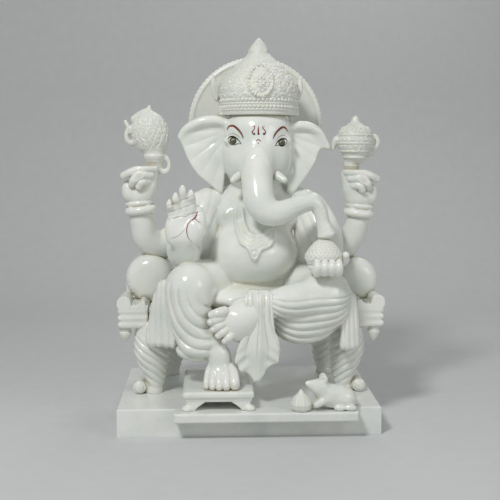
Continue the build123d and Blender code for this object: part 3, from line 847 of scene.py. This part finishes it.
LEFT_FALL = [(4, 60), (22, 56), (27, 10), (23, -40), (2, -44), (-24, -42), (-22, -10), (-15, 25), (-6, 52)]
RIGHT_FALL = [
    (-18, 42), (-6, 50), (9, 42), (15, 17), (18, -13), (16, -40), (2, -45), (-14, -41), (-12, -13),
    (-16, 17)
]
SHAPES["drape_left"] = cloth_fall(LEFT_FALL, -0.35, 8.0, 60)
SHAPES["drape_right"] = cloth_fall(RIGHT_FALL, 0.35, 7.0, 45)

# %% [markdown]
# ## Throne
# The throne is a low stool with rolled rail ends, curved legs wrapped in carved cloth, and two bolsters.

# %% Throne pieces


SEAT_HALF = (box_mm("throne_seat")[1] - box_mm("throne_seat")[0]) / 2


@shape("throne_seat")
def throne_seat(p):
    block = brick(p, (0, 0, 0), SEAT_HALF, 2.0)
    return block - 0.8 * np.cos(p[:, 2] * 2 * math.pi / 11) * (p[:, 1] < 0)


def rail_end(side):
    """Three half-round ribs with a scroll on top, mirrored for the other side."""
    def rail(p):
        q = p * np.float32([side, 1, 1])
        x, y, z = q.T
        core = brick(q, (-2, 0, -8.8), (22, 79, 16.5), 3)
        for k in range(3):
            height = -19.8 + 11 * k
            core = melt(1.2, core, brick(q, (0, 0, height), (24.2, 80.2, 5.4), 5.3))
        crest = brick(q, (0, -40, 8), (24, 40, 4), 3)
        scroll = bar(q, (14, -100, 15), (14, -20, 15), 10, 10)
        roll = bar(q, (-15, -100, 12), (-15, -20, 12), 6, 6)
        top = melt(3, crest, scroll, roll)
        eye = length(q[:, [0, 2]] - np.float32([14, 15]))
        top = top - 0.9 * np.cos(eye * 1.15) * (y < -70)
        return np.maximum(melt(2, core, top), -80.2 - y)
    return rail


SHAPES["rail_end_left"], SHAPES["rail_end_right"] = rail_end(-1), rail_end(1)


@shape("pendant_left", "pendant_right")
def pendant(p):
    profile = [(-12.6, 0.3), (-8, 4), (-2, 7.6), (2, 9.2), (5, 9.6), (7, 7.5), (9, 8.5), (12.7, 8)]
    return turned(p, (0, 0, 0), profile, 0.5)


def throne_leg(side, front):
    """A curved leg, fuller at the knee, with spiral folds of cloth and, on the front legs, a scroll at the
    foot.
    """
    def leg(p):
        q = p * np.float32([side, 1, 1]) - np.float32([0 if front else 10, 0, 0])
        x, y, z = q.T
        body = rope(
            q,
            [
                (-4, 0, 50, 23), (-5, 0, 32, 26), (-6, 0, 14, 27), (-10, 0, -8, 22), (-12, 0, -28, 16.5),
                (-11, 0, -44, 13), (-10, 0, -52, 15)
            ],
            5
        )
        wrap = folds((z - 0.9 * x - 0.006 * x * x) / 13.0 + 0.2 * np.sin(x / 9), 0.55) - 0.7
        body = body - 2.2 * wrap * 1.4 * ease(z, -48, -30) * (1 - ease(z, 34, 48))
        if front:
            curl = bar(q, (13, -10, -43), (13, 10, -43), 10, 10)
            eye = length(q[:, [0, 2]] - np.float32([13, -43]))
            curl = curl - 0.8 * np.cos(eye * 1.3) * (np.abs(y) > 8)
            body = melt(6, body, curl)
        return np.maximum(body, -53.5 - z)
    return leg


SHAPES["throne_leg_front_left"] = throne_leg(-1, True)
SHAPES["throne_leg_front_right"] = throne_leg(1, True)
SHAPES["throne_leg_rear_left"] = throne_leg(-1, False)
SHAPES["throne_leg_rear_right"] = throne_leg(1, False)


@shape("throne_back")
def throne_back(p):
    panel = brick(p, (0, 0, -85.5), (207.5, 14, 19), 4)
    post = brick(p, (1.5, 0, 0), (46, 14, 104.5), 8)
    back = melt(24, panel, post)
    border = 1.4 * bump(np.abs(p[:, 0] - 1.5) - 34, 3) * (p[:, 1] > 8) * ease(p[:, 2], -70, -60)
    return back - border


def bolster(radius, side):
    """A stuffed round cushion lying front to back. Its end is gathered into pleats round the lower outer
    edge.
    """
    def roll(p):
        x, y, z = p.T
        q = moved(p, (0, 0, radius - 39.0 if radius < 38 else 0))
        r = np.sqrt(x * x + (z + (1.5 if radius < 38 else 0)) ** 2)
        both = np.stack([r - radius + 19, np.abs(y) - 43.5 + 19], axis=1)
        body = length(np.maximum(both, 0)) + np.minimum(both.max(axis=1), 0) - 19
        body = body - 2.6 * bump(r, radius) * (y < 0)
        turn = np.arctan2(-z, side * x)
        pleat = (folds(turn * 5.2, 0.7) - 0.6) * ease(
            r, radius * 0.55, radius * 0.95
        ) * ease(-z + side * x, 5, 30)
        return np.maximum(body - 0.8 * pleat, -39.0 - z if radius > 38 else -35.5 - z)
    return roll


SHAPES["bolster_left"], SHAPES["bolster_right"] = bolster(39.0, -1), bolster(37.0, 1)


@shape("footstool")
def footstool(p):
    x, y, z = p.T
    lid = brick(p, (0, 0, 9.2), (53.5, 74, 5.3), 4.5)
    line = brick(p, (0, 0, 3.5), (50.5, 71, 3.0), 2.0)
    walls = brick(p, (0, 0, -5.5), (48, 70, 9), 2.0)
    widen = 17 + 17 * ease(-z, -3, 14)
    tunnel = np.maximum(np.abs(x) - widen, z + 1.5)
    across = np.maximum(np.abs(y) - 46 - 10 * ease(-z, -1, 14), z + 1.5)
    walls = scoop(3, walls, np.minimum(tunnel, across + 30))
    toes = [egg(p, (sx * 47, sy * 68, -11), (8, 8, 5)) for sx in (-1, 1) for sy in (-1, 1)]
    stool = melt(2, lid, line, walls)
    for toe in toes:
        stool = melt(3, stool, toe)
    return np.maximum(stool, -14.5 - z)


# %% [markdown]
# ## Mouse and sweet
# The small mouse looks up at the figure, with a sweet between its paws.

# %% Mouse and offered sweet


@shape("mouse")
def mouse(p):
    body = melt(10, egg(p, (0, -7.7, -7), (27, 17, 18)), egg(p, (19, -4.7, -12), (16, 18, 15)))
    neck = rope(p, [(-10, -9.7, -2, 14), (-21, -11.7, 6, 12)])
    face = rope(p, [(-21, -11.7, 9, 12), (-29, -14.7, 11, 9.5), (-38, -18.7, 15, 5.2), (-41, -19.7, 16, 3.4)])
    whole = melt(7, body, neck, face)
    for y in (-4.7, -18.7):
        ear = scoop(1.5, egg(p, (-16, y, 21), (5.8, 3.2, 7)), egg(p, (-18, y - 3.5, 22), (3.2, 2.5, 4.4)))
        whole = melt(2, whole, ear)
    for y in (-6.7, -21.7):
        whole = melt(0.6, whole, egg(p, (-29, y, 15), (1.8, 1.8, 1.8)))
    for a, b in (((-12, -18.7, -9), (-27, -22.7, -16)), ((-16, -9.7, -12), (-29, -16.7, -18))):
        whole = melt(3, whole, rope(p, [(*a, 6.5), (*b, 4.8)]))
    for x in (8, 24):
        whole = melt(3, whole, egg(p, (x, -20.7, -21.5), (9, 6, 5)))
    tail = rope(p, [(28, 3.3, -22, 4.5), (36, 9.3, -22, 3.6), (37, 19.3, -22.5, 3), (31, 24.3, -23, 2.2)])
    whole = melt(4, whole, tail)
    return np.maximum(whole, -26 - p[:, 2])


@shape("offered_sweet")
def offered_sweet(p):
    profile = [(-15.5, 11), (-11, 15), (-5, 15.5), (3, 11), (10, 4.5), (15.5, 0.6)]
    x, y, z = p.T
    pleat = folds(np.arctan2(x, -y) * 14 / (2 * math.pi), 0.8) - 0.6
    return turned(p, (0, 0, 0), profile, 1.0) - 0.9 * pleat * ease(z, -13, -4) * (1 - ease(z, 8, 14))


# %% [markdown]
# ## From distances to meshes
# Neighbouring parts of one carved figure share a seam. Each piece takes the joined shape of itself and its
# neighbours, but stops halfway between them, so the seam closes without a step and no two skins lie
# on top of each other. OpenVDB then turns the distances into a mesh, which is slid exactly onto the surface.

# %% Joining neighbours
FIGURE = [
    "head", "trunk", "ear_left", "ear_right", "torso", "necklace", "arm_front_left", "arm_front_right",
    "arm_rear_left", "arm_rear_right", "hand_front_left", "hand_front_right",
    "hand_rear_left", "hand_rear_right", "leg_lowered", "leg_folded", "cloth_swag", "foot_lowered",
    "foot_folded", "drape_left", "drape_right",
]
SEAM = 2.2
BOXES = {name: box_mm(name) for name in SHAPES}
HOMES = {name: home(name).astype(np.float32) for name in SHAPES}


def reach(name, points, beyond=30.0):
    """Distance to one piece. Points far from its box get a large number without any work."""
    low, high = BOXES[name]
    close = np.all((points > low - 18) & (points < high + 18), axis=1)
    out = np.full(len(points), beyond, np.float32)
    if close.any():
        out[close] = SHAPES[name](points[close] - HOMES[name])
    return out


def near(name, names, gap=12.0):
    low, high = BOXES[name]
    found = []
    for other in names:
        a, b = BOXES[other]
        if other != name and np.all(a < high + gap) and np.all(b > low - gap):
            found.append(other)
    return found


def skin(name):
    """The distance that is meshed for a piece."""
    if name not in FIGURE:
        return lambda points: reach(name, points)
    others = near(name, FIGURE)

    def joined(points):
        own = reach(name, points)
        total = np.exp(-own / SEAM)
        nearest = np.full(len(points), 30.0, np.float32)
        for other in others:
            d = reach(other, points)
            nearest = np.minimum(nearest, d)
            total += np.exp(-np.clip(d, -40, 60) / SEAM)
        blended = -SEAM * np.log(np.maximum(total, 1e-12))
        beyond = (own - nearest) / 2
        return np.maximum(blended + 0.5 * np.maximum(beyond, 0), beyond - 3)
    return joined


# %% Meshing
BLOCK = 8
FINE = {
    "hand": 0.85, "foot": 0.85, "crown": 0.8, "necklace": 0.9, "emblem": 0.75, "sweets": 0.75,
    "mouse": 0.75, "offered": 0.7,
    "head": 1.1, "trunk": 1.1, "ear": 1.1, "tusk": 0.8, "pendant": 0.8, "central": 0.9, "halo": 1.0,
}


def in_parts(function, points, size=150000):
    return np.concatenate([function(points[i : i + size]) for i in range(0, len(points), size)])


def grain(name):
    """How fine the mesh of a piece is, in millimetres."""
    found = [v for k, v in FINE.items() if name.startswith(k)]
    size = min(found) if found else 1.3
    return size * 1.0


def carve(name):
    """Vertices in millimetres and quads of one piece."""
    step = grain(name)
    distance = skin(name)
    low, high = BOXES[name][0] - 9, BOXES[name][1] + 9
    count = np.ceil((high - low) / (step * BLOCK)).astype(int)
    block = [(np.arange(n) + 0.5) * BLOCK * step for n in count]
    centres = np.stack(np.meshgrid(*block, indexing="ij"), axis=-1).reshape(-1, 3) + low
    rough = in_parts(distance, centres.astype(np.float32))
    grid = np.repeat(np.repeat(np.repeat(rough.reshape(count), BLOCK, 0), BLOCK, 1), BLOCK, 2)
    grid = np.where(grid < 0, -9, 9).astype(np.float32)
    keep = np.argwhere(np.abs(rough).reshape(count) < BLOCK * step * 1.15 + 3)
    inner = np.stack(np.meshgrid(*[np.arange(BLOCK)] * 3, indexing="ij"), axis=-1).reshape(-1, 3)
    cells = (keep[:, None] * BLOCK + inner[None]).reshape(-1, 3)
    values = in_parts(distance, (cells * step + low).astype(np.float32))
    grid[cells[:, 0], cells[:, 1], cells[:, 2]] = values
    for axis in range(3):
        np.moveaxis(grid, axis, 0)[[0, -1]] = 9
    volume = openvdb.FloatGrid(9.0)
    volume.copyFromArray(grid, ijk=(0, 0, 0), tolerance=0)
    points, quads = volume.convertToQuads(0.0)
    points = (points * step + low).astype(np.float32)
    tips = np.float32([[1, 1, 1], [1, -1, -1], [-1, 1, -1], [-1, -1, 1]])
    normals = None
    for _ in range(2):
        reach_out = 0.3 * step
        samples = [in_parts(distance, points + t * reach_out) for t in tips]
        slope = sum(s[:, None] * t for s, t in zip(samples, tips)) / (4 * reach_out)
        size = np.maximum(length(slope), 0.3)
        shift = np.clip(sum(samples) / 4 / size, -0.6 * step, 0.6 * step)
        normals = slope / size[:, None]
        points = points - normals * shift[:, None]
    # hollow says how enclosed each point is; the marble is tinted darker yellow-brown by it, which is partly
    # real dirt and partly painted shade
    around = [name] + near(name, SHAPES, 20)
    hollow = np.zeros(len(points), np.float32)
    for gap, share in ((1.8, 0.4), (5.0, 0.3), (13.0, 0.3)):
        probe = points + normals * gap
        space = np.minimum.reduce([in_parts(lambda q, o=o: reach(o, q), probe) for o in around])
        hollow += share * np.clip(1 - space / gap, 0, 1)
    return points, quads, hollow


def into_object(name, points, quads, hollow):
    """A smooth-shaded Blender mesh of one piece, in metres."""
    mesh = bpy.data.meshes.new(name)
    mesh.vertices.add(len(points))
    mesh.vertices.foreach_set("co", (points * MM).ravel())
    mesh.loops.add(quads.size)
    mesh.loops.foreach_set("vertex_index", quads.astype(np.int32).ravel())
    mesh.polygons.add(len(quads))
    mesh.polygons.foreach_set("loop_start", np.arange(0, quads.size, 4, dtype=np.int32))
    mesh.update(calc_edges=True)
    mesh.polygons.foreach_set("use_smooth", np.ones(len(quads), bool))
    mesh.attributes.new("hollow", "FLOAT", "POINT").data.foreach_set("value", hollow)
    piece = bpy.data.objects.new(name + "_carved", mesh)
    bpy.context.scene.collection.objects.link(piece)
    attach(piece, "root")
    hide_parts(name)
    return piece


with ThreadPoolExecutor(4) as pool:
    order = sorted(SHAPES, key=lambda n: -float(np.prod(BOXES[n][1] - BOXES[n][0])))
    carved = dict(zip(order, pool.map(carve, order)))
pieces = {name: into_object(name, *carved[name]) for name in order}
print(len(pieces), "pieces,", sum(len(c[1]) for c in carved.values()) * 2, "triangles")

# %% [markdown]
# ## Marble
# White marble lets light a little way in before sending it back, so its shadows look soft and its thin
# edges glow. Polished skin has a sharp highlight. Deep carving can't be polished, so it stays matt, and
# years of dust and oil leave it slightly yellow-brown. That yellow-brown is laid on more strongly the more
# enclosed a hollow is, so it is partly real dirt and partly painted shade.

# %% Colour and node helpers


def linear(code):
    """sRGB hex to the linear colour that Blender works with."""
    channels = [int(code[i : i + 2], 16) / 255 for i in (1, 3, 5)]
    return [c / 12.92 if c <= 0.04045 else ((c + 0.055) / 1.055) ** 2.4 for c in channels] + [1.0]


def add(tree, kind, links=None, **settings):
    """Adds one node. links gives each input a value or another node's output; settings are the node's own."""
    new = tree.nodes.new(kind)
    for key, value in settings.items():
        setattr(new, key, value)
    for socket, value in (links or {}).items():
        if isinstance(value, bpy.types.NodeSocket):
            tree.links.new(value, new.inputs[socket])
        else:
            new.inputs[socket].default_value = value
    return new


def blank(name):
    material = bpy.data.materials.new(name)
    material.use_nodes = True
    tree = material.node_tree
    tree.nodes.clear()
    return material, tree


def per_metre(size_mm):
    """Texture scale for a pattern whose marks are this many millimetres apart."""
    return 1000 / size_mm


# %% Marble finishes


def marble(name, stone, cloud, stain_and_shade_colour, stain_and_shade_amount, gloss, dull, ripple_mm, ripple):
    """One marble: its own colour and cloud colour, a yellow-brown laid into hollows that is partly real dirt
    and partly painted shade, gloss outside and inside them, and tool ripples.
    """
    material, tree = blank(name)
    place = add(tree, "ShaderNodeTexCoord").outputs["Object"]
    clouds = add(
        tree, "ShaderNodeTexNoise",
        {"Vector": place, "Scale": per_metre(70), "Detail": 5.0, "Roughness": 0.6}
    )
    cloud_mask = add(
        tree, "ShaderNodeMapRange", {"Value": clouds.outputs["Fac"], "From Min": 0.42, "From Max": 0.7}
    )
    body = add(
        tree, "ShaderNodeMix", {0: cloud_mask.outputs[0], 6: linear(stone), 7: linear(cloud)},
        data_type="RGBA"
    )
    hollow = add(tree, "ShaderNodeAttribute", attribute_name="hollow").outputs["Fac"]
    speckle = add(
        tree, "ShaderNodeTexNoise",
        {"Vector": place, "Scale": per_metre(9), "Detail": 4.0, "Roughness": 0.65}
    )
    broken = add(
        tree, "ShaderNodeMath", {0: speckle.outputs["Fac"], 1: 0.5, 2: hollow}, operation="MULTIPLY_ADD"
    )
    # Darker yellow-brown where the surface is enclosed: partly real dirt, partly painted shade
    dirt_and_painted_shade = add(
        tree, "ShaderNodeMapRange",
        {"Value": broken.outputs[0], "From Min": 0.5, "From Max": 1.15, "To Max": stain_and_shade_amount}
    )
    colour = add(
        tree, "ShaderNodeMix", {0: dirt_and_painted_shade.outputs[0], 6: body.outputs[2], 7: linear(stain_and_shade_colour)}, data_type="RGBA"
    )
    shine = add(
        tree, "ShaderNodeMapRange",
        {"Value": broken.outputs[0], "From Min": 0.3, "From Max": 0.9, "To Min": gloss, "To Max": dull}
    )
    waves = add(tree, "ShaderNodeTexNoise", {"Vector": place, "Scale": per_metre(ripple_mm), "Detail": 3.0})
    bumps = add(
        tree, "ShaderNodeBump", {"Height": waves.outputs["Fac"], "Strength": ripple, "Distance": 0.0006}
    )
    stone_shader = add(tree, "ShaderNodeBsdfPrincipled", {
        "Base Color": colour.outputs[2], "Roughness": shine.outputs[0], "Normal": bumps.outputs["Normal"],
        "IOR": 1.486,
        "Subsurface Weight": 0.35, "Subsurface Radius": (1.0, 0.85, 0.6), "Subsurface Scale": 0.004,
    })
    add(tree, "ShaderNodeOutputMaterial", {"Surface": stone_shader.outputs[0]})
    return material


# The third colour of each marble is the yellow-brown of its hollows, partly real dirt and partly painted
# shade
polished_marble = marble("polished_white_marble", "#EDEEE8", "#DDE2DA", "#B8AB86", 0.5, 0.16, 0.45, 9.0, 0.10)
carved_marble = marble("carved_white_marble", "#E6E7DF", "#D8DBD2", "#A89E7E", 0.55, 0.34, 0.6, 2.2, 0.35)
plinth_marble = marble(
    "sawn_and_polished_plinth_marble", "#EDEEEA", "#DCE0DC", "#A79262", 0.8, 0.14, 0.4, 14.0, 0.08
)
CARVED = ("crown", "necklace", "emblem", "sweets", "halo", "offered")
for name, piece in pieces.items():
    rough_cut = name.startswith(CARVED)
    piece.data.materials.append(carved_marble if rough_cut else polished_marble)

# %% Steel pins and kept stone


def brushed_steel():
    """Ground stainless pins: fine lines round the pin, a soft grey gloss."""
    material, tree = blank("ground_stainless_steel")
    place = add(tree, "ShaderNodeTexCoord").outputs["Object"]
    stretched = add(tree, "ShaderNodeMapping", {"Vector": place, "Scale": (40, 40, 900)})
    lines = add(tree, "ShaderNodeTexNoise", {"Vector": stretched.outputs[0], "Scale": 4.0, "Detail": 3.0})
    tone = add(
        tree, "ShaderNodeMix", {0: lines.outputs["Fac"], 6: linear("#9A9C9E"), 7: linear("#B8BABC")},
        data_type="RGBA"
    )
    gloss = add(tree, "ShaderNodeMapRange", {"Value": lines.outputs["Fac"], "To Min": 0.28, "To Max": 0.45})
    metal = add(
        tree, "ShaderNodeBsdfPrincipled",
        {"Base Color": tone.outputs[2], "Roughness": gloss.outputs[0], "Metallic": 1.0}
    )
    add(tree, "ShaderNodeOutputMaterial", {"Surface": metal.outputs[0]})
    return material


def dress(name, material):
    """Puts a material on every slot of a CAD piece that stays."""
    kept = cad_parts[name]
    if not kept.material_slots:
        kept.data.materials.append(material)
    for slot in kept.material_slots:
        slot.material = material


steel = brushed_steel()
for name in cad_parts:
    if name.startswith("dowels"):
        dress(name, steel)
    elif name not in SHAPES:
        dress(name, plinth_marble)
        print("kept as it is:", name)

# %% [markdown]
# ## Painted details
# The eyes, brows, forehead mark and palm lines are painted with a fine brush. A brush stroke is a thin
# raised ribbon of enamel, so each stroke is laid on the stone as a narrow strip that follows the surface.
# The same strips also carry painted shade along the lid and palm creases and a painted highlight on each
# iris.

# %% Brush strokes


def surface_of(name):
    points, quads, _ = carved[name]
    return BVHTree.FromPolygons((points * MM).tolist(), quads.tolist())


def enamel(name, code, gloss=0.22):
    """Hand-brushed enamel: full colour with slightly thinner patches and a wet-looking gloss. It also makes
    the painted crease shade and the painted iris highlight.
    """
    material, tree = blank(name)
    place = add(tree, "ShaderNodeTexCoord").outputs["Object"]
    patches = add(tree, "ShaderNodeTexNoise", {"Vector": place, "Scale": per_metre(3), "Detail": 3.0})
    dark = [c * 0.7 for c in linear(code)[:3]] + [1.0]
    tone = add(tree, "ShaderNodeMix", {0: patches.outputs["Fac"], 6: linear(code), 7: dark}, data_type="RGBA")
    paint = add(
        tree, "ShaderNodeBsdfPrincipled", {"Base Color": tone.outputs[2], "Roughness": gloss, "IOR": 1.5}
    )
    add(tree, "ShaderNodeOutputMaterial", {"Surface": paint.outputs[0]})
    return material


def stroke(stone, route, widths, lift=0.35):
    """A ribbon along a route of x and z points. Its width changes from point to point, and it lies on
    the stone.
    """
    ends = [(*point, width) for point, width in zip(route, widths)]
    path = smooth_route([(x, z, w) for (x, z), w in zip(route, widths)], 8)
    verts, faces = [], []
    across = (-1.0, -0.6, 0.0, 0.6, 1.0)
    for i, (x, z, w) in enumerate(path):
        ahead = path[min(i + 1, len(path) - 1)][:2] - path[max(i - 1, 0)][:2]
        ahead = ahead / max(float(np.hypot(*ahead)), 1e-6)
        side = np.array([-ahead[1], ahead[0]])
        for s in across:
            px, pz = x + side[0] * s * w / 2, z + side[1] * s * w / 2
            hit, normal, _, _ = stone.ray_cast(Vector((px * MM, -0.4, pz * MM)), Vector((0, 1, 0)))
            if hit is None:
                hit, normal, _, _ = stone.find_nearest(Vector((px * MM, -0.08, pz * MM)))
            rise = lift * (1 - abs(s) ** 2) - 0.12
            verts.append(hit + normal * (rise * MM))
        if i:
            a, b = (i - 1) * 5, i * 5
            faces += [(a + k, a + k + 1, b + k + 1, b + k) for k in range(4)]
    return verts, faces


def disc(stone, centre, radius, lift=0.3, tall=1.0):
    """A round spot of paint."""
    verts, faces = [], []
    rings, spokes = 4, 20
    for r in range(rings + 1):
        for s in range(spokes):
            a = 2 * math.pi * s / spokes
            x = centre[0] + math.cos(a) * radius * r / rings
            z = centre[1] + math.sin(a) * radius * tall * r / rings
            hit, normal, _, _ = stone.ray_cast(Vector((x * MM, -0.4, z * MM)), Vector((0, 1, 0)))
            verts.append(hit + normal * ((lift * (1 - (r / rings) ** 2) - 0.1 + 0.1 * (r < rings)) * MM))
        if r:
            a, b = (r - 1) * spokes, r * spokes
            faces += [(a + k, b + k, b + (k + 1) % spokes, a + (k + 1) % spokes) for k in range(spokes)]
    return verts, faces


def lay(name, material, *strokes):
    """Joins strokes of one colour into a piece."""
    verts, faces = [], []
    for stroke_verts, stroke_faces in strokes:
        start = len(verts)
        verts += stroke_verts
        faces += [tuple(start + k for k in face) for face in stroke_faces]
    mesh = bpy.data.meshes.new(name)
    mesh.from_pydata(verts, [], faces)
    mesh.update()
    mesh.polygons.foreach_set("use_smooth", [True] * len(mesh.polygons))
    mesh.materials.append(material)
    piece = bpy.data.objects.new(name, mesh)
    bpy.context.scene.collection.objects.link(piece)
    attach(piece, "root")
    return piece


# %% Eyes, brows and forehead mark
face = surface_of("head")
black = enamel("black_enamel", "#17130F")
olive = enamel("olive_green_enamel", "#66654A")
red = enamel("crimson_enamel", "#8C1A2A")


def on_face(*pairs):
    return [np.array(HOMES["head"][[0, 2]]) + np.array(pair) for pair in pairs]


brow_points = (
    ((-49.3, 26), (-46, 31.3), (-39.4, 31.8), (-32.9, 26.7), (-28.1, 20.7), (-24.7, 13.5)),
    ((46.2, 23.4), (41, 29), (35.8, 29.5), (29.1, 24.7), (23.9, 18.2), (21.2, 12.2)),
)
lid_points = (
    ((-48.7, 10.9), (-45.4, 14.6), (-39.4, 15.2), (-32.9, 10.9), (-27.5, 4)),
    ((44.3, 8.3), (41.6, 11.5), (35.1, 11.8), (28.5, 7.6), (24.6, 1)),
)
lower_points = (
    ((-48.2, 9.5), (-44.7, 4.3), (-39.4, 2.5), (-32.9, 4.3), (-27.5, 4)),
    ((44, 8), (40.3, 2.6), (35.1, 0.5), (29.8, 2.3), (24.6, 1)),
)
crease_points = (
    ((-48, 17), (-42, 20), (-34, 17.5), (-29, 12)),
    ((44, 15), (38, 17.5), (31, 15), (26, 9)),
)
russet = enamel("russet_brown_enamel", "#8E4A33")
# The grey-brown lines laid along the lid creases and palm creases are painted shade in those creases
shadow = enamel("thin_grey_brown_painted_crease_shade", "#A79C8C", 0.3)
lay(
    "painted_brows", russet,
    *[stroke(face, on_face(*line), (1.4, 3.6, 4.4, 4.2, 3.4, 1.2)) for line in brow_points]
)
inner = [[(x, z - 1.1) for x, z in line[2:]] for line in brow_points]
lay(
    "painted_brow_edges", enamel("dark_maroon_enamel", "#4A1C18"),
    *[stroke(face, on_face(*line), (0.6, 1.8, 1.8, 0.8), 0.6) for line in inner]
)
lay(
    "painted_shade_in_lid_creases", shadow,
    *[stroke(face, on_face(*line), (0.5, 1.4, 1.4, 0.5)) for line in crease_points]
)
eyes = [((-40.3, 8.9), 4.9), ((35.1, 6.4), 4.9)]
lay("painted_irises", olive, *[disc(face, on_face(c)[0], r) for c, r in eyes])
# The pale spot on each iris, set up and to the left of its middle, is a painted highlight
lay(
    "painted_iris_highlights", enamel("pale_olive_painted_highlight_enamel", "#A6A488"),
    *[disc(face, on_face((c[0] - 0.6, c[1] + 0.6))[0], 2.8, 0.45) for c, r in eyes]
)
rims = []
for c, r in eyes:
    ring = [(c[0] + math.cos(a) * r, c[1] + math.sin(a) * r) for a in np.linspace(0, 2 * math.pi, 13)]
    rims.append(stroke(face, on_face(*ring), [1.3] * 13, 0.5))
lids = [stroke(face, on_face(*line), (1.0, 2.6, 3.0, 2.0, 0.8), 0.55) for line in lid_points]
lowers = [stroke(face, on_face(*line), (0.8, 1.4, 1.6, 1.3, 0.6), 0.5) for line in lower_points]
pupils = [disc(face, on_face(c)[0], 1.7, 0.7) for c, r in eyes]
lay("painted_lids_and_pupils", black, *pupils, *rims, *lids, *lowers)
curls = (
    ((-10.7, 30.7), (-7.4, 31.4), (-8.2, 26.7), (-11.2, 22.3), (-9, 18.9)),
    ((8, 31.4), (4.9, 29), (8, 25), (9.4, 21.4), (6.9, 18.6)),
)
mark = [stroke(face, on_face(*line), (0.8, 1.8, 1.8, 2.2, 2.6)) for line in curls]
mark.append(stroke(face, on_face((-1.2, 32.6), (-1.8, 24.7), (-1.5, 18.4)), (0.6, 2.8, 2.4)))
mark.append(stroke(face, on_face((-6.5, 7.7), (-1.9, 10.6), (2.7, 7.5)), (1.0, 2.0, 1.0)))
lay("painted_forehead_mark", red, *mark, disc(face, on_face((-1.9, 5))[0], 1.1))
ends = [disc(face, on_face(c)[0], 1.9, 0.6) for c in ((-8.2, 19.3), (-1.6, 19.6), (7, 19.4))]
lay("painted_forehead_mark_ends", black, *ends)

# %% Palm lines
palm = surface_of("hand_front_left")


def on_palm(*pairs):
    return [np.array(HOMES["hand_front_left"][[0, 2]]) + np.array(pair) for pair in pairs]


life_line = ((17.9, 8.6), (14, -0.6), (6.6, -6), (2.9, -11.4), (1.3, -19.1), (3.2, -29.9), (9.4, -37.7))
lay(
    "painted_palm_lines", red,
    stroke(palm, on_palm(*life_line), (0.6, 2.6, 1.6, 1.6, 1.8, 1.1, 0.5)),
    stroke(palm, on_palm((13, -1.4), (18, -5.9), (22.4, -8.2)), (1.4, 1.0, 0.5)),
)
# These grey-brown lines are painted shade along the palm creases
lay(
    "painted_shade_in_palm_creases", shadow,
    stroke(palm, on_palm((-23, -32.4), (-11, -27.4), (-1.4, -17.4)), (0.5, 1.0, 0.5)),
    stroke(palm, on_palm((-26, -5.4), (-13, -0.4), (1, 1.6), (13, 8.6)), (0.5, 0.9, 0.9, 0.5)),
)

# %% [markdown]
# ## Studio
# The figure stands on a plain pale floor. One large soft light from the front left shapes the forms, a
# weaker one fills the other side, and a pale sky keeps the shadows open, as in a display room.

# %% Floor


def studio_floor():
    """A wide floor that curves up behind the object, so no edge shows."""
    outline = [(-8.0, 0.0), (0.9, 0.0)] + [
        (0.9 + 0.6 * math.sin(a), 0.6 - 0.6 * math.cos(a)) for a in np.linspace(0.2, math.pi / 2, 8)
    ] + [(1.5, 3.2)]
    mesh = bpy.data.meshes.new("floor")
    verts = [(x, y, z) for y, z in outline for x in (-8, 8)]
    faces = [(2 * i, 2 * i + 1, 2 * i + 3, 2 * i + 2) for i in range(len(outline) - 1)]
    mesh.from_pydata(verts, [], faces)
    mesh.polygons.foreach_set("use_smooth", [True] * len(mesh.polygons))
    floor = bpy.data.objects.new("floor", mesh)
    bpy.context.scene.collection.objects.link(floor)
    material, tree = blank("matt_white_paper_floor")
    place = add(tree, "ShaderNodeTexCoord").outputs["Object"]
    fibres = add(tree, "ShaderNodeTexNoise", {"Vector": place, "Scale": per_metre(25), "Detail": 4.0})
    tone = add(
        tree, "ShaderNodeMix", {0: fibres.outputs["Fac"], 6: linear("#D2D4D3"), 7: linear("#CACCCB")},
        data_type="RGBA"
    )
    paper = add(tree, "ShaderNodeBsdfPrincipled", {"Base Color": tone.outputs[2], "Roughness": 0.85})
    add(tree, "ShaderNodeOutputMaterial", {"Surface": paper.outputs[0]})
    mesh.materials.append(material)


studio_floor()

# %% Lights


def soft_light(name, place, aim, size, watts, code="#FFFFFF"):
    lamp = bpy.data.lights.new(name, "AREA")
    lamp.shape = "DISK"
    lamp.size = size
    lamp.energy = watts
    lamp.color = linear(code)[:3]
    holder = bpy.data.objects.new(name, lamp)
    holder.location = place
    holder.rotation_euler = (Vector(aim) - Vector(place)).to_track_quat("-Z", "Y").to_euler()
    bpy.context.scene.collection.objects.link(holder)


middle = (0.0, 0.0, 0.3)
soft_light("key", (-0.7, -1.3, 1.7), middle, 0.4, 21)
soft_light("fill", (1.4, -1.2, 0.9), middle, 0.8, 5)
soft_light("rim", (0.5, 1.2, 1.6), middle, 0.8, 4)
world = bpy.data.worlds.new("pale_room")
world.use_nodes = True
world.node_tree.nodes["Background"].inputs["Color"].default_value = linear("#F4F6F6")
world.node_tree.nodes["Background"].inputs["Strength"].default_value = 0.32
bpy.context.scene.world = world

# %% Camera
# The lens stands a little left of the middle, at head height, and looks slightly down.
lens = bpy.data.cameras.new("camera")
lens.lens = 67.21
lens.sensor_width = 36
camera = bpy.data.objects.new("camera", lens)
camera.location = (-0.0583, -1.5019, 0.4410)
camera.rotation_euler = (math.radians(90 - 6.558), 0, math.radians(-2.447))
bpy.context.scene.collection.objects.link(camera)
bpy.context.scene.camera = camera
bpy.context.scene.view_settings.view_transform = "Standard"

bpy.context.view_layer.update()
